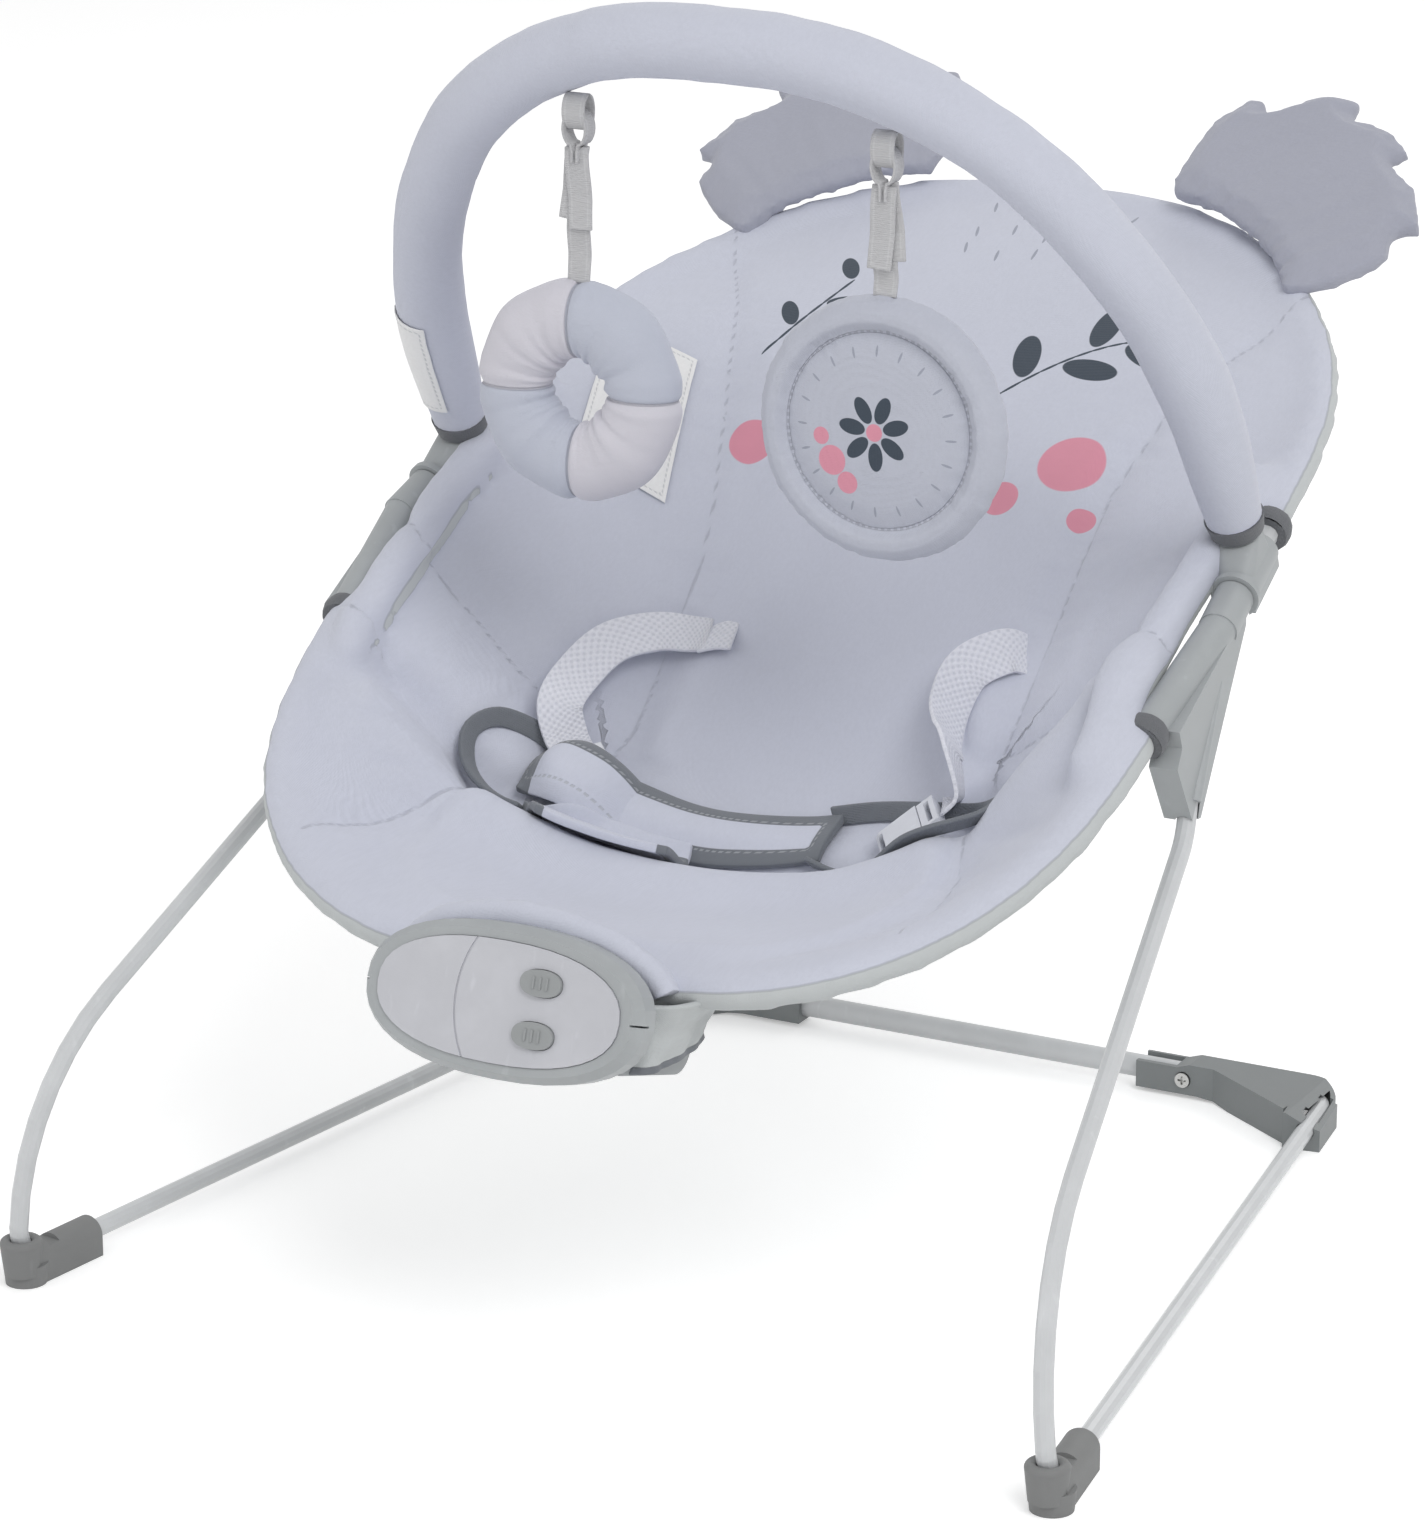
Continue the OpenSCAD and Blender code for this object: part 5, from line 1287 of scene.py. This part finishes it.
def makeDiscToy():
    # a stuffed disc, stitched round between a plump rim and its middle
    bm = bmesh.new()
    r, d, s = toyLook["discRadius"], toyLook["discDeep"], toyLook["innerSeam"]
    profile = [(0, d * 0.80), (s * 0.45, d * 0.80), (s * 0.80, d * 0.66), (s * 0.95, d * 0.48), (s, d * 0.40),
               (s * 1.04, d * 0.52), (s + (r - s) * 0.30, d * 0.78), (s + (r - s) * 0.60, d * 0.74),
               (r * 0.965, d * 0.44), (r, 0)]
    half = profile + [(a, -b) for a, b in reversed(profile[:-1])]
    corners = [bm.verts.new((a, b, 0)) for a, b in half]
    edges = [bm.edges.new(pair) for pair in zip(corners, corners[1:])]
    bmesh.ops.subdivide_edges(bm, edges=edges, cuts=3)
    piece = spun(bm, "discToy", 160, 1e-5)
    smoothed = piece.modifiers.new("ease", "SMOOTH")
    smoothed.factor, smoothed.iterations = 0.5, 3
    applied(piece)
    mesh = piece.data
    points, normals = coordsOf(mesh), normalsOf(mesh)
    turn, reach = np.arctan2(points[:, 2], points[:, 0]), np.hypot(points[:, 0], points[:, 2])
    folds = noiseOver(np.stack([np.cos(turn) * 15, np.sin(turn) * 15, reach * 30], 1), 1)
    broad = noiseOver(points, 30)
    near = np.exp(-((reach - s) / 0.006) ** 2) + np.exp(-((reach - r) / 0.004) ** 2)
    push = 0.0008 * folds * near + 0.0008 * broad
    setAttribute(mesh, "round", np.stack([turn / math.tau, reach, points[:, 1]], 1))
    setCoords(mesh, points + normals * push[:, None] + np.array(toyCentre("disc_toy")))
    centre = toyCentre("disc_toy")

    def motif(tree, base, height):
        # a small flower with a ring of dashes, and three berries to one side
        split = partsOf(tree, objectPlace(tree))
        x, z = minus(tree, split[0], centre.x), minus(tree, split[2], centre.z)

        def ringOf(count, reach, half, first):
            turns = [math.tau * k / count + first for k in range(count)]
            spots = [(reach * math.cos(a), reach * math.sin(a)) for a in turns]
            return [motifDot(tree, x, z, spot, half, math.degrees(a)) for spot, a in zip(spots, turns)]

        petals = ringOf(toyLook["petals"], toyLook["petalAt"], toyLook["petal"], 0.3)
        marks = ringOf(toyLook["marks"], toyLook["markAt"], toyLook["mark"], 0)
        dots = [motifDot(tree, x, z, spot, (size, size)) for spot, size in toyLook["dots"]]
        front = spread(tree, minus(tree, centre.y, split[1]), 0.0, 0.001)
        base = mixColour(tree, times(tree, oneOf(tree, petals), front), base, colours["charcoal"])
        base = mixColour(tree, times(tree, oneOf(tree, marks), times(tree, front, 0.85)), base, colours["dash"])
        base = mixColour(tree, times(tree, oneOf(tree, dots), front), base, colours["pink"])
        around = partsOf(tree, attributeOf(tree, "round", "Vector"))
        line = spread(tree, maths(tree, "ABSOLUTE", minus(tree, around[1], s)), 0.0008, 0.0003)
        run = maths(tree, "SINE", times(tree, maths(tree, "ARCTAN2", z, x), 90.0))
        stitch = times(tree, line, spread(tree, run, -0.5, 0.1))
        base = mixColour(tree, times(tree, stitch, 0.55), base, srgb(146, 149, 160))
        height = minus(tree, height, times(tree, line, 0.0004))
        return base, height

    mesh.materials.append(clothMaterial("discToyCloth", srgb(190, 193, 205), 1500, 0.00003, 0.0008, extra=motif))
    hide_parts("disc_toy")
    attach(piece, "disc_toy")


makeRingToy()
makeDiscToy()


# ---- hanging tapes ----
tapeLook = {"wide": 0.0105, "eye": 0.0085, "thick": 0.0011, "tab": 0.034}


def tapeWeave(tree, base, height):
    # fine ribs along the tape, with a sewn line near each edge
    strip = stripOf(tree)
    height = plus(tree, height, times(tree, wave(tree, strip[0], 0.0008), 0.00005))
    line = stitchesIn(tree, strip, 0.0012, 0.0008)[0]
    return mixColour(tree, times(tree, line, 0.35), base, srgb(214, 214, 216)), height


tapeCloth = clothMaterial("tapeCloth", colours["tape"], 2200, 0.00003, 0.0002, 0.8, 0.15, tapeWeave)


def makeTapes(strapNode, toyNode, sign):
    # the bar's loop, and the toy's own strap folded through it with its fastening tab
    centre = toyCentre(toyNode)
    low, high = (Vector(c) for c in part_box(strapNode))
    loops = nodes["bar_loops"].data
    spots = np.array([tuple(v.co) for v in loops.vertices if abs(v.co.x - centre.x) < 0.02])
    bottom, top = spots[:, 2].min(), spots[:, 2].max()
    middle, y = (bottom + top) / 2, centre.y
    radius = (top - bottom) / 2 - 0.0006
    ring = [Vector((centre.x, y + radius * math.sin(a) * 0.62, middle + radius * math.cos(a)))
            for a in np.linspace(-0.15, math.tau + 0.15, 25)]
    across = Vector((1, 0, 0))
    wide, thick = tapeLook["wide"], tapeLook["thick"]
    loop = ribbonPiece("barLoop." + toyNode, ring, [across] * 25, wide, thick, tapeCloth, 0.0018)
    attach(loop, "toy_bar")
    eye = high.z - 0.0075
    fold = [Vector((centre.x + 0.0052 * math.cos(a), y, eye + 0.0074 * math.sin(a)))
            for a in np.linspace(-math.pi * 0.42, math.pi * 1.42, 17)]
    ends = [Vector((centre.x + offset, y, eye - 0.0140)) for offset in (0.0012, -0.0012)]
    path = ends[:1] + fold + ends[1:]
    upper = ribbonPiece("toyStrapEye." + toyNode, path, [Vector((0, 1, 0))] * len(path), tapeLook["eye"], thick,
                        tapeCloth, 0.0018)
    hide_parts(strapNode)
    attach(upper, toyNode)
    tabTop, tabLow = eye - 0.0075, eye - 0.0075 - tapeLook["tab"]
    layers = [("toyTab", 0.0016, tabTop, tabLow, 0.0108, sign * 0.0004),
              ("toyTabBack", -0.0001, tabTop + 0.001, tabLow + 0.0035, 0.0104, -sign * 0.0008),
              ("toyStrap", 0.0, tabLow + 0.006, low.z - 0.001, wide, 0.0)]
    widths = [Vector((1, 0.06 * math.sin(k * 0.9), 0)) for k in range(6)]
    for name, forward, start, stop, broad, lean in layers:
        drop = (stop - start) / 5
        places = [Vector((centre.x + lean * k, y - forward - 0.0006 * math.sin(k * 1.6), start + drop * k))
                  for k in range(6)]
        strip = ribbonPiece(name + "." + toyNode, places, widths, broad, thick * 1.1, tapeCloth, 0.002)
        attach(strip, toyNode)
    return loop


ringLoop = makeTapes("ring_strap", "ring_toy", 1)
makeTapes("disc_strap", "disc_toy", -1)
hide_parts("bar_loops")
print("toys and tapes made")


# ---- stage ----
def makeStage():
    material, tree, shader = newMaterial("paleFloor")
    setInputs(shader, {"Base Color": (0.93, 0.93, 0.93, 1), "Roughness": 0.9, "Specular IOR Level": 0.1})
    glow = addNode(tree, "Emission")
    setInputs(glow, {"Color": (1, 1, 1, 1)})
    path = addNode(tree, "LightPath")
    seen = maths(tree, "MAXIMUM", path.outputs["Is Camera Ray"], path.outputs["Is Glossy Ray"])
    feed(tree, glow.inputs["Strength"], times(tree, seen, 0.34))
    both = addNode(tree, "AddShader")
    tree.links.new(shader.outputs[0], both.inputs[0])
    tree.links.new(glow.outputs[0], both.inputs[1])
    tree.links.new(both.outputs[0], tree.nodes["Material Output"].inputs["Surface"])
    bm = bmesh.new()
    bmesh.ops.create_grid(bm, x_segments=2, y_segments=2, size=9)
    floor = pieceFrom("floor", meshOf(bm, "floor"), material)
    world = bpy.data.worlds.new("studio")
    scene.world = world
    world.use_nodes = True
    tree = world.node_tree
    background = tree.nodes["Background"]
    setInputs(background, {"Color": (1, 1, 1, 1)})
    path = addNode(tree, "LightPath")
    seen = maths(tree, "MAXIMUM", path.outputs["Is Camera Ray"], times(tree, path.outputs["Is Glossy Ray"], 0.8))
    feed(tree, background.inputs["Strength"], maths(tree, "MAXIMUM", seen, lightSetup["worldStrength"]))
    for name in ("key", "fill", "back"):
        setup = lightSetup[name]
        lamp = bpy.data.lights.new(name, "AREA")
        lamp.shape, lamp.size, lamp.energy = "DISK", setup["size"], setup["power"]
        holder = bpy.data.objects.new(name, lamp)
        holder.location = setup["place"]
        holder.rotation_euler = (Vector((0, 0, 0.25)) - holder.location).to_track_quat("-Z", "Y").to_euler()
        scene.collection.objects.link(holder)


makeStage()
print("stage ready")
